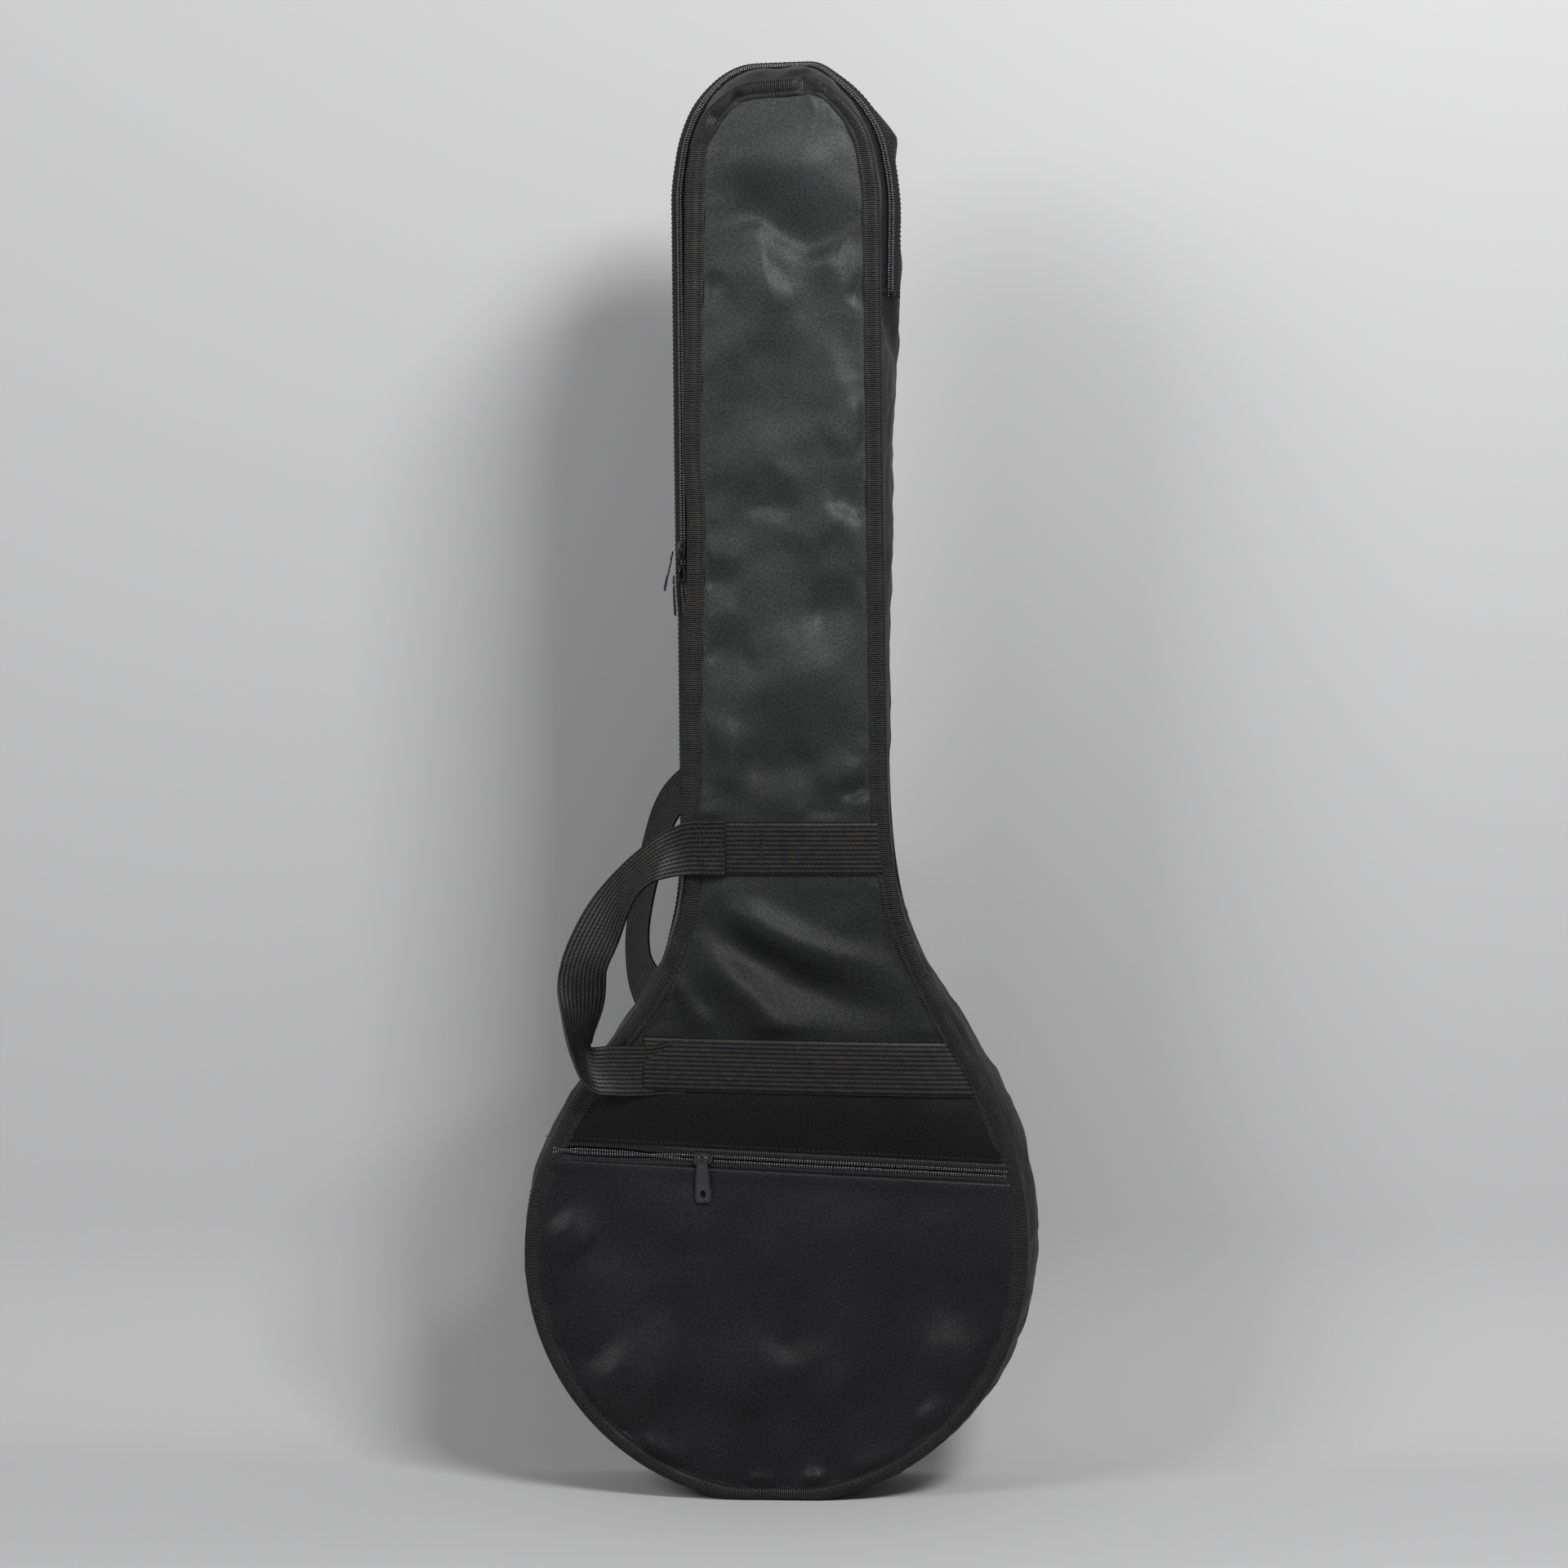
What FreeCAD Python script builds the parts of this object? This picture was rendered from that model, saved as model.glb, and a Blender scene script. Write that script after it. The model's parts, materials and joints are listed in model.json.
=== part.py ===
import FreeCAD
import Part
import Sketcher
import math
import os
from types import SimpleNamespace
from FreeCAD import Placement, Rotation, Vector

# A five-string open-back banjo standing upright inside its zipped soft gig bag.
# Millimetres, +Z up. The bag's front looks along -Y, +X is to the right seen from the front.
# The origin is the middle of the flat foot that the bag stands on.

DIMENSIONS = {
    # bag shell, outside
    "front_face": 50.0,
    "panel_cloth": 1.2,
    "panel_foam": 4.0,
    "gusset_thick": 4.0,
    "crown_half": 15.0,
    "soft_gap": 0.3,
    "overrun": 5.0,
    # edge of the front and back panels, outer side of the binding
    "edge_pot_x": -1.0,
    "edge_pot_room": 40.3,
    "edge_pot_flat": 2.0,
    "edge_neck_left": -66.0,
    "edge_neck_right": 79.0,
    "edge_head_left": -60.0,
    "edge_head_right": 72.0,
    "edge_top_room": 60.0,
    "edge_top_slope": 10.0,
    "edge_corner": 48.0,
    # bulge of the gusset's middle beyond that edge
    "crown_pot_shift": 2.0,
    "crown_pot_flat": 5.0,
    "bulge_pot": 6.0,
    "bulge_neck_left": 5.0,
    "bulge_neck_right": -1.0,
    "bulge_head_left": 16.0,
    "bulge_head_right": 12.0,
    "bulge_top_left": 21.0,
    "bulge_top_right": 16.0,
    "bulge_corner": 14.0,
    # heights shared by both edges
    "neck_foot_z": 450.0,
    "head_length": 67.0,
    "shoulder_fillet": 175.0,
    # binding
    "binding_width": 12.0,
    "binding_band": 0.8,
    "binding_lip": 1.0,
    # main zip round the head and down the left side
    "zip_right_drop": 154.0,
    "zip_left_end": 110.0,
    "zip_slot_half": 9.0,
    "tape_thick": 0.8,
    "tape_sink": 1.2,
    "tape_gap_half": 0.5,
    "coil_height": 2.0,
    "coil_width": 2.6,
    "coil_gap_half": 0.6,
    "stop_length": 4.0,
    "stop_half_width": 4.0,
    # zip slider, shared by the three sliders
    "slider_half_length": 7.0,
    "slider_half_width": 5.0,
    "slider_plate": 1.4,
    "slider_back_plate": 0.7,
    "slider_clear": 0.25,
    "slider_web_half": 0.3,
    "bridge_half_length": 5.0,
    "bridge_half_width": 1.2,
    "bridge_bar": 0.9,
    "bridge_slot": 1.2,
    "bridge_leg": 1.5,
    "upper_slider_z": 686.5,
    "lower_slider_z": 669.0,
    # pulls of the main zip
    "pull_pin_radius": 0.4,
    "pull_half_width": 3.2,
    "pull_thick": 0.8,
    "pull_length": 30.0,
    "pull_eye_length": 6.0,
    "pull_eye_half": 1.9,
    "pull_hole_radius": 1.5,
    # front pocket and its zip
    "pocket_zip_z": 244.5,
    "pocket_zip_left": -155.0,
    "pocket_zip_right": 165.0,
    "pocket_stand_off": 0.9,
    "pocket_cloth": 0.7,
    "pocket_tape": 0.6,
    "pocket_tape_width": 7.5,
    "pocket_coil_height": 1.6,
    "pocket_slider_x": -53.0,
    "pocket_bar_radius": 0.8,
    "pocket_pull_bore": 1.05,
    "pocket_pull_sleeve": 1.7,
    "pocket_pull_sleeve_length": 5.0,
    "pocket_pull_length": 33.0,
    "pocket_pull_top_half": 2.3,
    "pocket_pull_end_half": 6.0,
    "pocket_pull_thick": 1.2,
    # webbing straps and handles
    "webbing_width": 38.0,
    "webbing_thick": 1.8,
    "handle_thick": 1.7,
    "upper_strap_z": 464.0,
    "lower_strap_z": 310.0,
    "upper_exit_x": -50.0,
    "lower_exit_x": -90.0,
    "upper_fold": 13.0,
    "lower_fold": 31.0,
    "lower_strap_drop": 4.0,
    "handle_reach": 70.0,
    "back_strap_rise": 37.0,
    # pot of the banjo
    "banjo_x": 3.0,
    "head_plane": 22.0,
    "rim_radius": 139.7,
    "rim_wall": 12.7,
    "rim_depth": 53.0,
    "tone_ring_depth": 6.5,
    "tone_ring_wall": 6.5,
    "head_film": 0.3,
    "skirt_stand": 2.8,
    "skirt_wall": 0.5,
    "skirt_depth": 8.0,
    "flesh_stand": 5.3,
    "flesh_gap": 0.6,
    "flesh_depth": 3.0,
    "hoop_stand": 8.1,
    "hoop_gap": 3.1,
    "hoop_proud": 3.0,
    "hook_stand": 10.3,
    "hook_rod": 1.75,
    "hook_claw": 2.5,
    "hook_claw_half": 2.5,
    "hook_claw_reach": 6.0,
    "hook_length": 34.0,
    "shoe_top": 4.0,
    "shoe_depth": 8.0,
    "shoe_half_width": 5.5,
    "shoe_stand": 13.3,
    "nut_radius": 4.0,
    "bracket_nut_depth": 9.0,
    "rod_bore_gap": 0.15,
    # coordinator rod
    "rod_radius": 4.75,
    "rod_depth_y": 14.0,
    "rod_nut_radius": 8.0,
    "rod_nut_thick": 6.0,
    "rod_tail": 4.5,
    # neck
    "heel_half_width": 12.0,
    "heel_back": 28.0,
    "heel_length": 34.0,
    "neck_stand": 15.8,
    "scale_length": 667.0,
    "last_fret_room": 4.6,
    "board_front": 32.5,
    "board_thick": 6.0,
    "neck_half_at_pot": 22.5,
    "neck_half_at_fifth": 20.5,
    "neck_half_at_top": 16.0,
    "neck_depth_at_pot": 22.0,
    "neck_depth_at_top": 17.0,
    "fret_height": 1.0,
    "fret_width": 2.0,
    "dot_radius": 3.0,
    "dot_thick": 0.2,
    "string_nut_length": 5.0,
    "string_nut_rise": 1.2,
    # peghead
    "peghead_length": 165.0,
    "peghead_half_low": 20.0,
    "peghead_half_wide": 27.0,
    "peghead_thick": 14.0,
    # tuners
    "tuner_low": 45.0,
    "tuner_pitch": 62.0,
    "tuner_across": 15.0,
    "post_radius": 3.0,
    "post_rise": 16.0,
    "post_gap": 0.3,
    "housing_half_width": 7.0,
    "housing_half_length": 11.0,
    "housing_depth": 9.0,
    "housing_wall": 1.5,
    "button_shaft_radius": 1.75,
    "button_shaft_length": 10.0,
    "button_radius": 8.0,
    "button_thick": 6.0,
    "fifth_shaft_radius": 3.0,
    "fifth_shaft_length": 16.0,
    "fifth_drop": 9.0,
    # bridge, tailpiece and strings
    "bridge_height": 16.0,
    "bridge_half_span": 38.0,
    "bridge_thick": 5.0,
    "bridge_foot": 8.0,
    "bridge_arch": 8.0,
    "tailpiece_half_width": 22.0,
    "tailpiece_length": 46.0,
    "tailpiece_thick": 3.0,
    "tailpiece_lift": 4.0,
    "string_radius": 0.3,
    "string_pitch_bridge": 11.0,
    "string_pitch_nut": 7.0,
}

PEGHEAD_ANGLE = 14.0
SHOULDER_ANGLE = 36.0
POCKET_ZIP_ANGLE = 2.8
HOOK_COUNT = 24
FRET_COUNT = 22
FIFTH_FRET = 5
STRING_COUNT = 5
STRING_SIDES = 8
DOT_FRET_COUNTS = (3, 5, 7, 10, 12, 15, 17)
UPPER_PULL_TILT = 13.5
BACK_HANDLE_SWING = 60.0

# heights on the peghead, of its length: waist, widest place and the dip in its top
PEGHEAD_HEIGHT_SHARES = (0.17, 0.85, 0.96)
# centre line of a webbing loop: outward share of handle_reach, height share between the exits
HANDLE_PATH_SHARES = (
    (0.0, 1.0),
    (0.49, 0.97),
    (0.80, 0.84),
    (0.91, 0.65),
    (0.95, 0.45),
    (0.84, 0.23),
    (0.64, 0.06),
    (0.33, 0.0),
    (0.0, 0.0),
)

doc = FreeCAD.newDocument("banjo_in_gig_bag")
sheet = doc.addObject("Spreadsheet::Sheet", "Dims")
for row, (alias, number) in enumerate(DIMENSIONS.items(), start=1):
    sheet.set("A%d" % row, alias)
    sheet.set("B%d" % row, str(number))
    sheet.setAlias("B%d" % row, alias)
doc.recompute()
size = SimpleNamespace(**{alias: float(sheet.get(alias)) for alias in DIMENSIONS})

UP = Vector(0, 0, 1)
BACK = Vector(0, 1, 0)
RIGHT = Vector(1, 0, 0)
ALONG_Y = Rotation(RIGHT, -90)
ALONG_X = Rotation(BACK, 90)
nodes = []


# Ways of making a sub-part
def value(expression):
    """The present value of a sheet expression."""
    return float(sheet.evalExpression(expression))


def keep(item, label):
    """Names a finished sub-part and lists it for writing."""
    item.Label = label
    nodes.append(item)
    return item


def shaped(label, shape):
    """A sub-part whose form is made from curves worked out of the sheet."""
    item = doc.addObject("Part::Feature", label)
    item.Shape = shape
    return keep(item, label)


def bind(item, sizes):
    """Ties an object's properties to sheet expressions."""
    for name, expression in sizes.items():
        item.setExpression(name, expression)
    return item


def rod(name, radius, length, at, turn=Rotation()):
    """A cylinder tied to the sheet, standing on its base point."""
    item = doc.addObject("Part::Cylinder", name)
    bind(item, {"Radius": radius, "Height": length})
    item.Placement = Placement(at, turn)
    return item


def block(name, length, width, height, at, turn=Rotation()):
    """A box tied to the sheet, from its low corner."""
    item = doc.addObject("Part::Box", name)
    bind(item, {"Length": length, "Width": width, "Height": height})
    item.Placement = Placement(at, turn)
    return item


def cut(name, base, tool):
    item = doc.addObject("Part::Cut", name)
    item.Base = base
    item.Tool = tool
    return item


def join(name, pieces):
    item = doc.addObject("Part::MultiFuse", name)
    item.Shapes = pieces
    return item


def ring(name, outer, bore, length, front_y):
    """A tube round the pot's axis, from front_y towards the back."""
    at = Vector(size.banjo_x, front_y, pot_z)
    wall = rod(name + "_outside", outer, length, at, ALONG_Y)
    hole = rod(name + "_bore", bore, length, at, ALONG_Y)
    return cut(name, wall, hole)


def padded_sketch(label, corners, thickness, hole=None):
    """A PartDesign body: straight-sided outline in X and Z, padded towards -Y."""
    body = doc.addObject("PartDesign::Body", label)
    sketch = body.newObject("Sketcher::SketchObject", label + "_outline")
    plane = [item for item in body.Origin.OriginFeatures if item.Role == "XZ_Plane"][0]
    sketch.AttachmentSupport = [(plane, "")]
    sketch.MapMode = "FlatFace"
    points = [Vector(value(across), value(up), 0) for across, up in corners]
    count = len(points)
    for index in range(count):
        sketch.addGeometry(Part.LineSegment(points[index], points[(index + 1) % count]), False)
    for index in range(count):
        sketch.addConstraint(Sketcher.Constraint("Coincident", index, 2, (index + 1) % count, 1))
    for index, (across, up) in enumerate(corners):
        pin_point(sketch, index, 1, "corner%d" % index, across, up)
    if hole is not None:
        across, up, radius = hole
        circle = Part.Circle(Vector(value(across), value(up), 0), UP, value(radius))
        index = sketch.addGeometry(circle, False)
        pin_point(sketch, index, 3, "hole", across, up)
        link = sketch.addConstraint(Sketcher.Constraint("Radius", index, value(radius)))
        sketch.renameConstraint(link, "hole_radius")
        sketch.setExpression("Constraints.hole_radius", radius)
    pad = body.newObject("PartDesign::Pad", label + "_pad")
    pad.Profile = sketch
    pad.setExpression("Length", thickness)
    return body


def pin_point(sketch, index, end, name, across, up):
    """Ties one point of a sketch to two sheet expressions."""
    for kind, suffix, expression in (("DistanceX", "across", across), ("DistanceY", "up", up)):
        constraint = Sketcher.Constraint(kind, -1, 1, index, end, value(expression))
        link = sketch.addConstraint(constraint)
        sketch.renameConstraint(link, name + suffix)
        sketch.setExpression("Constraints." + name + suffix, expression)


# The bag's edge
class Edge:
    """The bag's outline at one depth: a pot circle cut flat at the foot, straight shoulders,
    a long neck and a rounded head. An inset moves every side inwards by the same amount."""

    def __init__(self, pot_x, pot_radius, flat, neck, head, top, corner):
        self.pot_x = pot_x
        self.pot_radius = pot_radius
        self.pot_z = pot_radius - flat
        self.neck_left, self.neck_right = neck
        self.head_left, self.head_right = head
        self.top_left, self.top_right = top
        self.corner = corner

    def side(self, sign, inset):
        """Points of one side, foot to head: foot, belly, tangent, then the two rounded corners."""
        radius = self.pot_radius - inset
        centre = Vector(self.pot_x, 0, self.pot_z)
        foot_half = math.sqrt(radius ** 2 - (self.pot_z - inset) ** 2)
        foot = Vector(self.pot_x + sign * foot_half, 0, inset)
        lean = math.radians(SHOULDER_ANGLE)
        outward = Vector(sign * math.cos(lean), 0, math.sin(lean))
        tangent = centre + outward * radius
        start = math.atan2(inset - self.pot_z, foot_half)
        middle = (start + lean) / 2
        belly = centre + Vector(sign * math.cos(middle), 0, math.sin(middle)) * radius
        shoulder_way = Vector(-sign * math.sin(lean), 0, math.cos(lean))
        low, high = self.neck_line(sign, inset)
        neck_way = (high - low).normalize()
        top_left, top_right = self.top_line(inset)
        top_way = (top_left - top_right).normalize() * sign
        shoulder = crossing(tangent, shoulder_way, low, neck_way)
        temple = crossing(low, neck_way, top_left, top_way)
        return SimpleNamespace(
            foot=foot, belly=belly, tangent=tangent,
            shoulder=rounded(shoulder, shoulder_way, neck_way, size.shoulder_fillet + inset),
            temple=rounded(temple, neck_way, top_way, self.corner - inset))

    def neck_line(self, sign, inset):
        right = sign > 0
        low = Vector(self.neck_right if right else self.neck_left, 0, size.neck_foot_z)
        high = Vector(self.head_right if right else self.head_left, 0, neck_head_z)
        way = (high - low).normalize()
        outward = Vector(way.z, 0, -way.x) * sign
        return low - outward * inset, high - outward * inset

    def top_line(self, inset):
        left = Vector(self.head_left, 0, self.top_left - inset)
        right = Vector(self.head_right, 0, self.top_right - inset)
        return left, right

    def wire(self, inset, depth):
        right = self.side(1, inset)
        left = self.side(-1, inset)
        edges = [
            line(left.foot, right.foot),
            arc(right.foot, right.belly, right.tangent),
            line(right.tangent, right.shoulder[0]),
            arc(*right.shoulder),
            line(right.shoulder[2], right.temple[0]),
            arc(*right.temple),
            line(right.temple[2], left.temple[2]),
            arc(*reversed(left.temple)),
            line(left.temple[0], left.shoulder[2]),
            arc(*reversed(left.shoulder)),
            line(left.shoulder[0], left.tangent),
            arc(left.tangent, left.belly, left.foot),
        ]
        outline = Part.Wire(edges)
        outline.translate(BACK * depth)
        return outline

    def plate(self, inset, front, thickness):
        """The whole outline as a flat plate, from its front towards the back."""
        return Part.Face(self.wire(inset, front)).extrude(BACK * thickness)

    def band(self, outer, inner, front, thickness):
        """A closed band that follows the edge between two insets."""
        return self.plate(outer, front, thickness).cut(self.plate(inner, front, thickness))


def crossing(point, way, other_point, other_way):
    """Where two lines of the XZ plane cross."""
    gap = other_point - point
    turn = way.x * other_way.z - way.z * other_way.x
    return point + way * ((gap.x * other_way.z - gap.z * other_way.x) / turn)


def rounded(corner, way_in, way_out, radius):
    """Start, middle and end of the arc that rounds a corner."""
    turn = way_in.getAngle(way_out)
    reach = radius * math.tan(turn / 2)
    across = (way_out - way_in).normalize()
    middle = corner + across * (radius / math.cos(turn / 2) - radius)
    return corner - way_in * reach, middle, corner + way_out * reach


def line(start, end):
    return Part.LineSegment(start, end).toShape()


def arc(start, middle, end):
    return Part.Arc(start, middle, end).toShape()


def brick(low, high):
    """An axis-aligned box between two corners."""
    span = high - low
    return Part.makeBox(span.x, span.y, span.z, low)


# Heights of the banjo, which stands on its lowest bracket nuts
hoop_radius = size.rim_radius + size.hoop_stand
hook_circle = size.rim_radius + size.hook_stand
shoe_radius = size.rim_radius + size.shoe_stand
rim_bore = size.rim_radius - size.rim_wall
lowest_hook = math.radians(360.0 / HOOK_COUNT / 2)
pot_z = (size.gusset_thick + size.soft_gap + size.nut_radius
         + hook_circle * math.cos(lowest_hook))
neck_low = pot_z + size.rim_radius + size.neck_stand
nut_z = (neck_low + size.last_fret_room
         + size.scale_length * (1 - 2 ** (-FRET_COUNT / 12.0)))
fifth_z = nut_z - size.scale_length * (1 - 2 ** (-FIFTH_FRET / 12.0))
bridge_z = nut_z - size.scale_length
neck_top_z = nut_z + size.string_nut_length
peghead_top = neck_top_z + size.peghead_length * math.cos(math.radians(PEGHEAD_ANGLE))

# The bag's edges, cut to leave room round the banjo
bag_top = peghead_top + size.edge_top_room
neck_head_z = bag_top - size.head_length
zip_right_end = bag_top - size.zip_right_drop
edge = Edge(
    size.edge_pot_x, size.rim_radius + size.edge_pot_room, size.edge_pot_flat,
    (size.edge_neck_left, size.edge_neck_right),
    (size.edge_head_left, size.edge_head_right),
    (bag_top - size.edge_top_slope, bag_top), size.edge_corner)
crown = Edge(
    edge.pot_x + size.crown_pot_shift, edge.pot_radius + size.bulge_pot, size.crown_pot_flat,
    (edge.neck_left - size.bulge_neck_left, edge.neck_right + size.bulge_neck_right),
    (edge.head_left - size.bulge_head_left, edge.head_right + size.bulge_head_right),
    (edge.top_left + size.bulge_top_left, edge.top_right + size.bulge_top_right),
    edge.corner + size.bulge_corner)
bag_high = crown.top_right + size.overrun
bag_wide = crown.pot_radius + crown.pot_x + size.overrun
seam_y = size.front_face - size.panel_cloth
foam_y = seam_y - size.panel_foam
pocket_back = size.front_face + size.pocket_stand_off
pocket_front = pocket_back + size.pocket_cloth
binding_front = pocket_front + size.binding_band
handle_back = binding_front + size.soft_gap
handle_front = handle_back + size.handle_thick
rear_handle_front = size.front_face + size.webbing_thick + size.soft_gap
rear_handle_back = rear_handle_front + size.handle_thick


# Bag panels and gusset
def make_panels():
    cloth = edge.plate(size.binding_lip, -size.front_face, size.panel_cloth)
    shaped("front_panel", cloth)
    foam_inset = size.binding_lip + size.gusset_thick + size.soft_gap
    shaped("front_padding", edge.plate(foam_inset, -seam_y, size.panel_foam))
    shaped("back_panel", edge.plate(size.binding_lip, seam_y, size.panel_cloth))
    shaped("back_padding", edge.plate(foam_inset, foam_y, size.panel_foam))


def gusset_wall():
    """The gusset strip all round the bag: slanted to a bulged crown at mid depth."""
    def body(inset):
        sections = [
            edge.wire(size.binding_lip + inset, -seam_y),
            crown.wire(inset, -size.crown_half),
            crown.wire(inset, size.crown_half),
            edge.wire(size.binding_lip + inset, seam_y),
        ]
        return Part.makeLoft(sections, True, True)
    return body(0).cut(body(size.gusset_thick))


def zip_zone(shorten, half_depth):
    """The room of the main zip: round the head and down the left side."""
    right_end = Vector(-bag_wide, -half_depth, zip_right_end + shorten)
    left_end = Vector(-bag_wide, -half_depth, size.zip_left_end + shorten)
    head = brick(right_end, Vector(bag_wide, half_depth, bag_high))
    side = brick(left_end, Vector(0, half_depth, zip_right_end + shorten))
    return head.fuse(side).removeSplitter()


def make_gussets():
    wall = gusset_wall()
    zone = zip_zone(0, size.front_face)
    shaped("side_gusset", wall.cut(zone))
    strip = wall.common(zone)
    deep = size.front_face + size.overrun
    for name, near, far in (("front", -deep, -size.zip_slot_half), ("back", size.zip_slot_half, deep)):
        half = brick(Vector(-bag_wide, near, 0), Vector(bag_wide, far, bag_high))
        shaped("zip_gusset_" + name, strip.common(half))


# Main zip
def zip_band(outer, inner, near, far, zone):
    return crown.band(outer, inner, near, far - near).common(zone)


def make_main_zip():
    full = zip_zone(0, size.front_face)
    short = zip_zone(size.stop_length, size.front_face)
    tape_in = size.tape_sink + size.tape_thick
    coil_out = size.tape_sink - size.coil_height
    for name, side in (("front", -1), ("back", 1)):
        near, far = sorted((side * size.zip_slot_half, side * size.tape_gap_half))
        shaped("main_zip_%s_tape" % name, zip_band(size.tape_sink, tape_in, near, far, full))
        reach = size.coil_gap_half + size.coil_width
        near, far = sorted((side * reach, side * size.coil_gap_half))
        shaped("main_zip_%s_coil" % name, zip_band(coil_out, size.tape_sink, near, far, short))
    half = size.stop_half_width
    stops = zip_band(coil_out, size.tape_sink, -half, half, full).cut(short)
    shaped("main_zip_end_stops", Part.Compound(stops.Solids))


def slider_shape(back_plate_near):
    """A zip slider in its own frame: the zip runs along +Z and the outside is towards -X.
    Zero in X is the outer face of the tape. The bridge carries the pull's pin."""
    plate_near = size.coil_height + size.slider_clear
    plate_far = plate_near + size.slider_plate
    back_far = back_plate_near + size.slider_back_plate
    half = size.slider_half_length
    wide = size.slider_half_width
    web = size.slider_web_half
    shell = brick(Vector(-plate_far, -wide, -half), Vector(-plate_near, wide, half))
    back = brick(Vector(back_plate_near, -wide, -half), Vector(back_far, wide, half))
    neck = brick(Vector(-plate_far, -web, -half / 2), Vector(back_far, web, half / 2))
    body = shell.fuse([back, neck])
    bar_far = plate_far + size.bridge_slot + size.bridge_bar
    long = size.bridge_half_length
    bridge = brick(Vector(-bar_far, -size.bridge_half_width, -long),
                   Vector(-plate_far, size.bridge_half_width, long))
    slot = brick(Vector(-plate_far - size.bridge_slot, -wide, -long + size.bridge_leg),
                 Vector(-plate_far, wide, long - size.bridge_leg))
    return body.fuse(bridge.cut(slot)).removeSplitter()


def crown_left_point(height, inset):
    """A point of the straight left side of the crown, and the side's direction."""
    low, high = crown.neck_line(-1, inset)
    way = (high - low).normalize()
    return low + way * ((height - low.z) / way.z), way


def pull_pin_offset():
    """From the tape's outer face out to the pin, and from the slider's middle down to it."""
    plate_far = size.coil_height + size.slider_clear + size.slider_plate
    out = plate_far + size.bridge_slot / 2
    down = size.bridge_half_length - size.bridge_leg - size.pull_pin_radius - size.slider_clear
    return out, down


def main_pull(label, pin, tilt):
    """A pull plate hanging from a pin across its two eye arms."""
    plate = padded_sketch(label + "_plate", (
        ("-Dims.pull_half_width", "-Dims.pull_length"),
        ("Dims.pull_half_width", "-Dims.pull_length"),
        ("Dims.pull_half_width", "Dims.pull_pin_radius"),
        ("Dims.pull_eye_half", "Dims.pull_pin_radius"),
        ("Dims.pull_eye_half", "-Dims.pull_eye_length"),
        ("-Dims.pull_eye_half", "-Dims.pull_eye_length"),
        ("-Dims.pull_eye_half", "Dims.pull_pin_radius"),
        ("-Dims.pull_half_width", "Dims.pull_pin_radius"),
    ), "Dims.pull_thick", ("0", "-Dims.pull_length + 2 * Dims.pull_half_width", "Dims.pull_hole_radius"))
    flat = Rotation(UP, -90)
    plate.Placement = Placement(Vector(size.pull_thick / 2, 0, 0), flat)
    bar = rod(label + "_pin", "Dims.pull_pin_radius", "2 * Dims.pull_half_width",
              Vector(0, -size.pull_half_width, 0), ALONG_Y)
    pull = join(label, [plate, bar])
    pull.Placement = Placement(pin, Rotation(BACK, tilt))
    return keep(pull, label)


def make_main_sliders():
    out, down = pull_pin_offset()
    back_near = size.tape_thick + size.slider_clear
    for name, height, tilt in (("upper", size.upper_slider_z, UPPER_PULL_TILT),
                               ("lower", size.lower_slider_z, 0.0)):
        point, way = crown_left_point(height, size.tape_sink)
        lean = Rotation(UP, way)
        slider = shaped("main_zip_%s_slider" % name, slider_shape(back_near))
        slider.Placement = Placement(point, lean)
        pin = point + lean.multVec(Vector(-out, 0, -down))
        main_pull("main_zip_%s_pull" % name, pin, tilt)


# Front pocket
def along_pocket_zip(low, high):
    """A box in the pocket zip's own frame, whose X runs along the zip and Z across it."""
    shape = brick(low, high)
    shape.rotate(Vector(0, 0, 0), BACK, POCKET_ZIP_ANGLE)
    shape.translate(Vector(0, 0, size.pocket_zip_z))
    return shape


def make_pocket():
    left = size.pocket_zip_left - 2 * size.overrun
    right = size.pocket_zip_right + 2 * size.overrun
    wide = size.pocket_tape_width
    below = along_pocket_zip(Vector(-2 * bag_wide, -2 * pocket_front, -bag_high),
                             Vector(2 * bag_wide, 0, -wide))
    cloth = edge.plate(size.binding_lip, -pocket_front, size.pocket_cloth)
    shaped("pocket_panel", cloth.common(below))
    field = edge.plate(size.binding_width, -2 * pocket_front, 2 * pocket_front)
    tape_near = pocket_back + size.pocket_cloth - size.pocket_tape
    coil_far = pocket_front + size.pocket_coil_height
    for name, side in (("upper", 1), ("lower", -1)):
        low, high = sorted((side * size.tape_gap_half, side * wide))
        tape = along_pocket_zip(Vector(left, -pocket_front, low), Vector(right, -tape_near, high))
        shaped("pocket_zip_%s_tape" % name, tape.common(field))
        low, high = sorted((side * size.coil_gap_half, side * (size.coil_gap_half + size.coil_width)))
        coil = along_pocket_zip(Vector(left, -coil_far, low), Vector(right, -pocket_front, high))
        shaped("pocket_zip_%s_coil" % name, coil.common(field))


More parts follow.
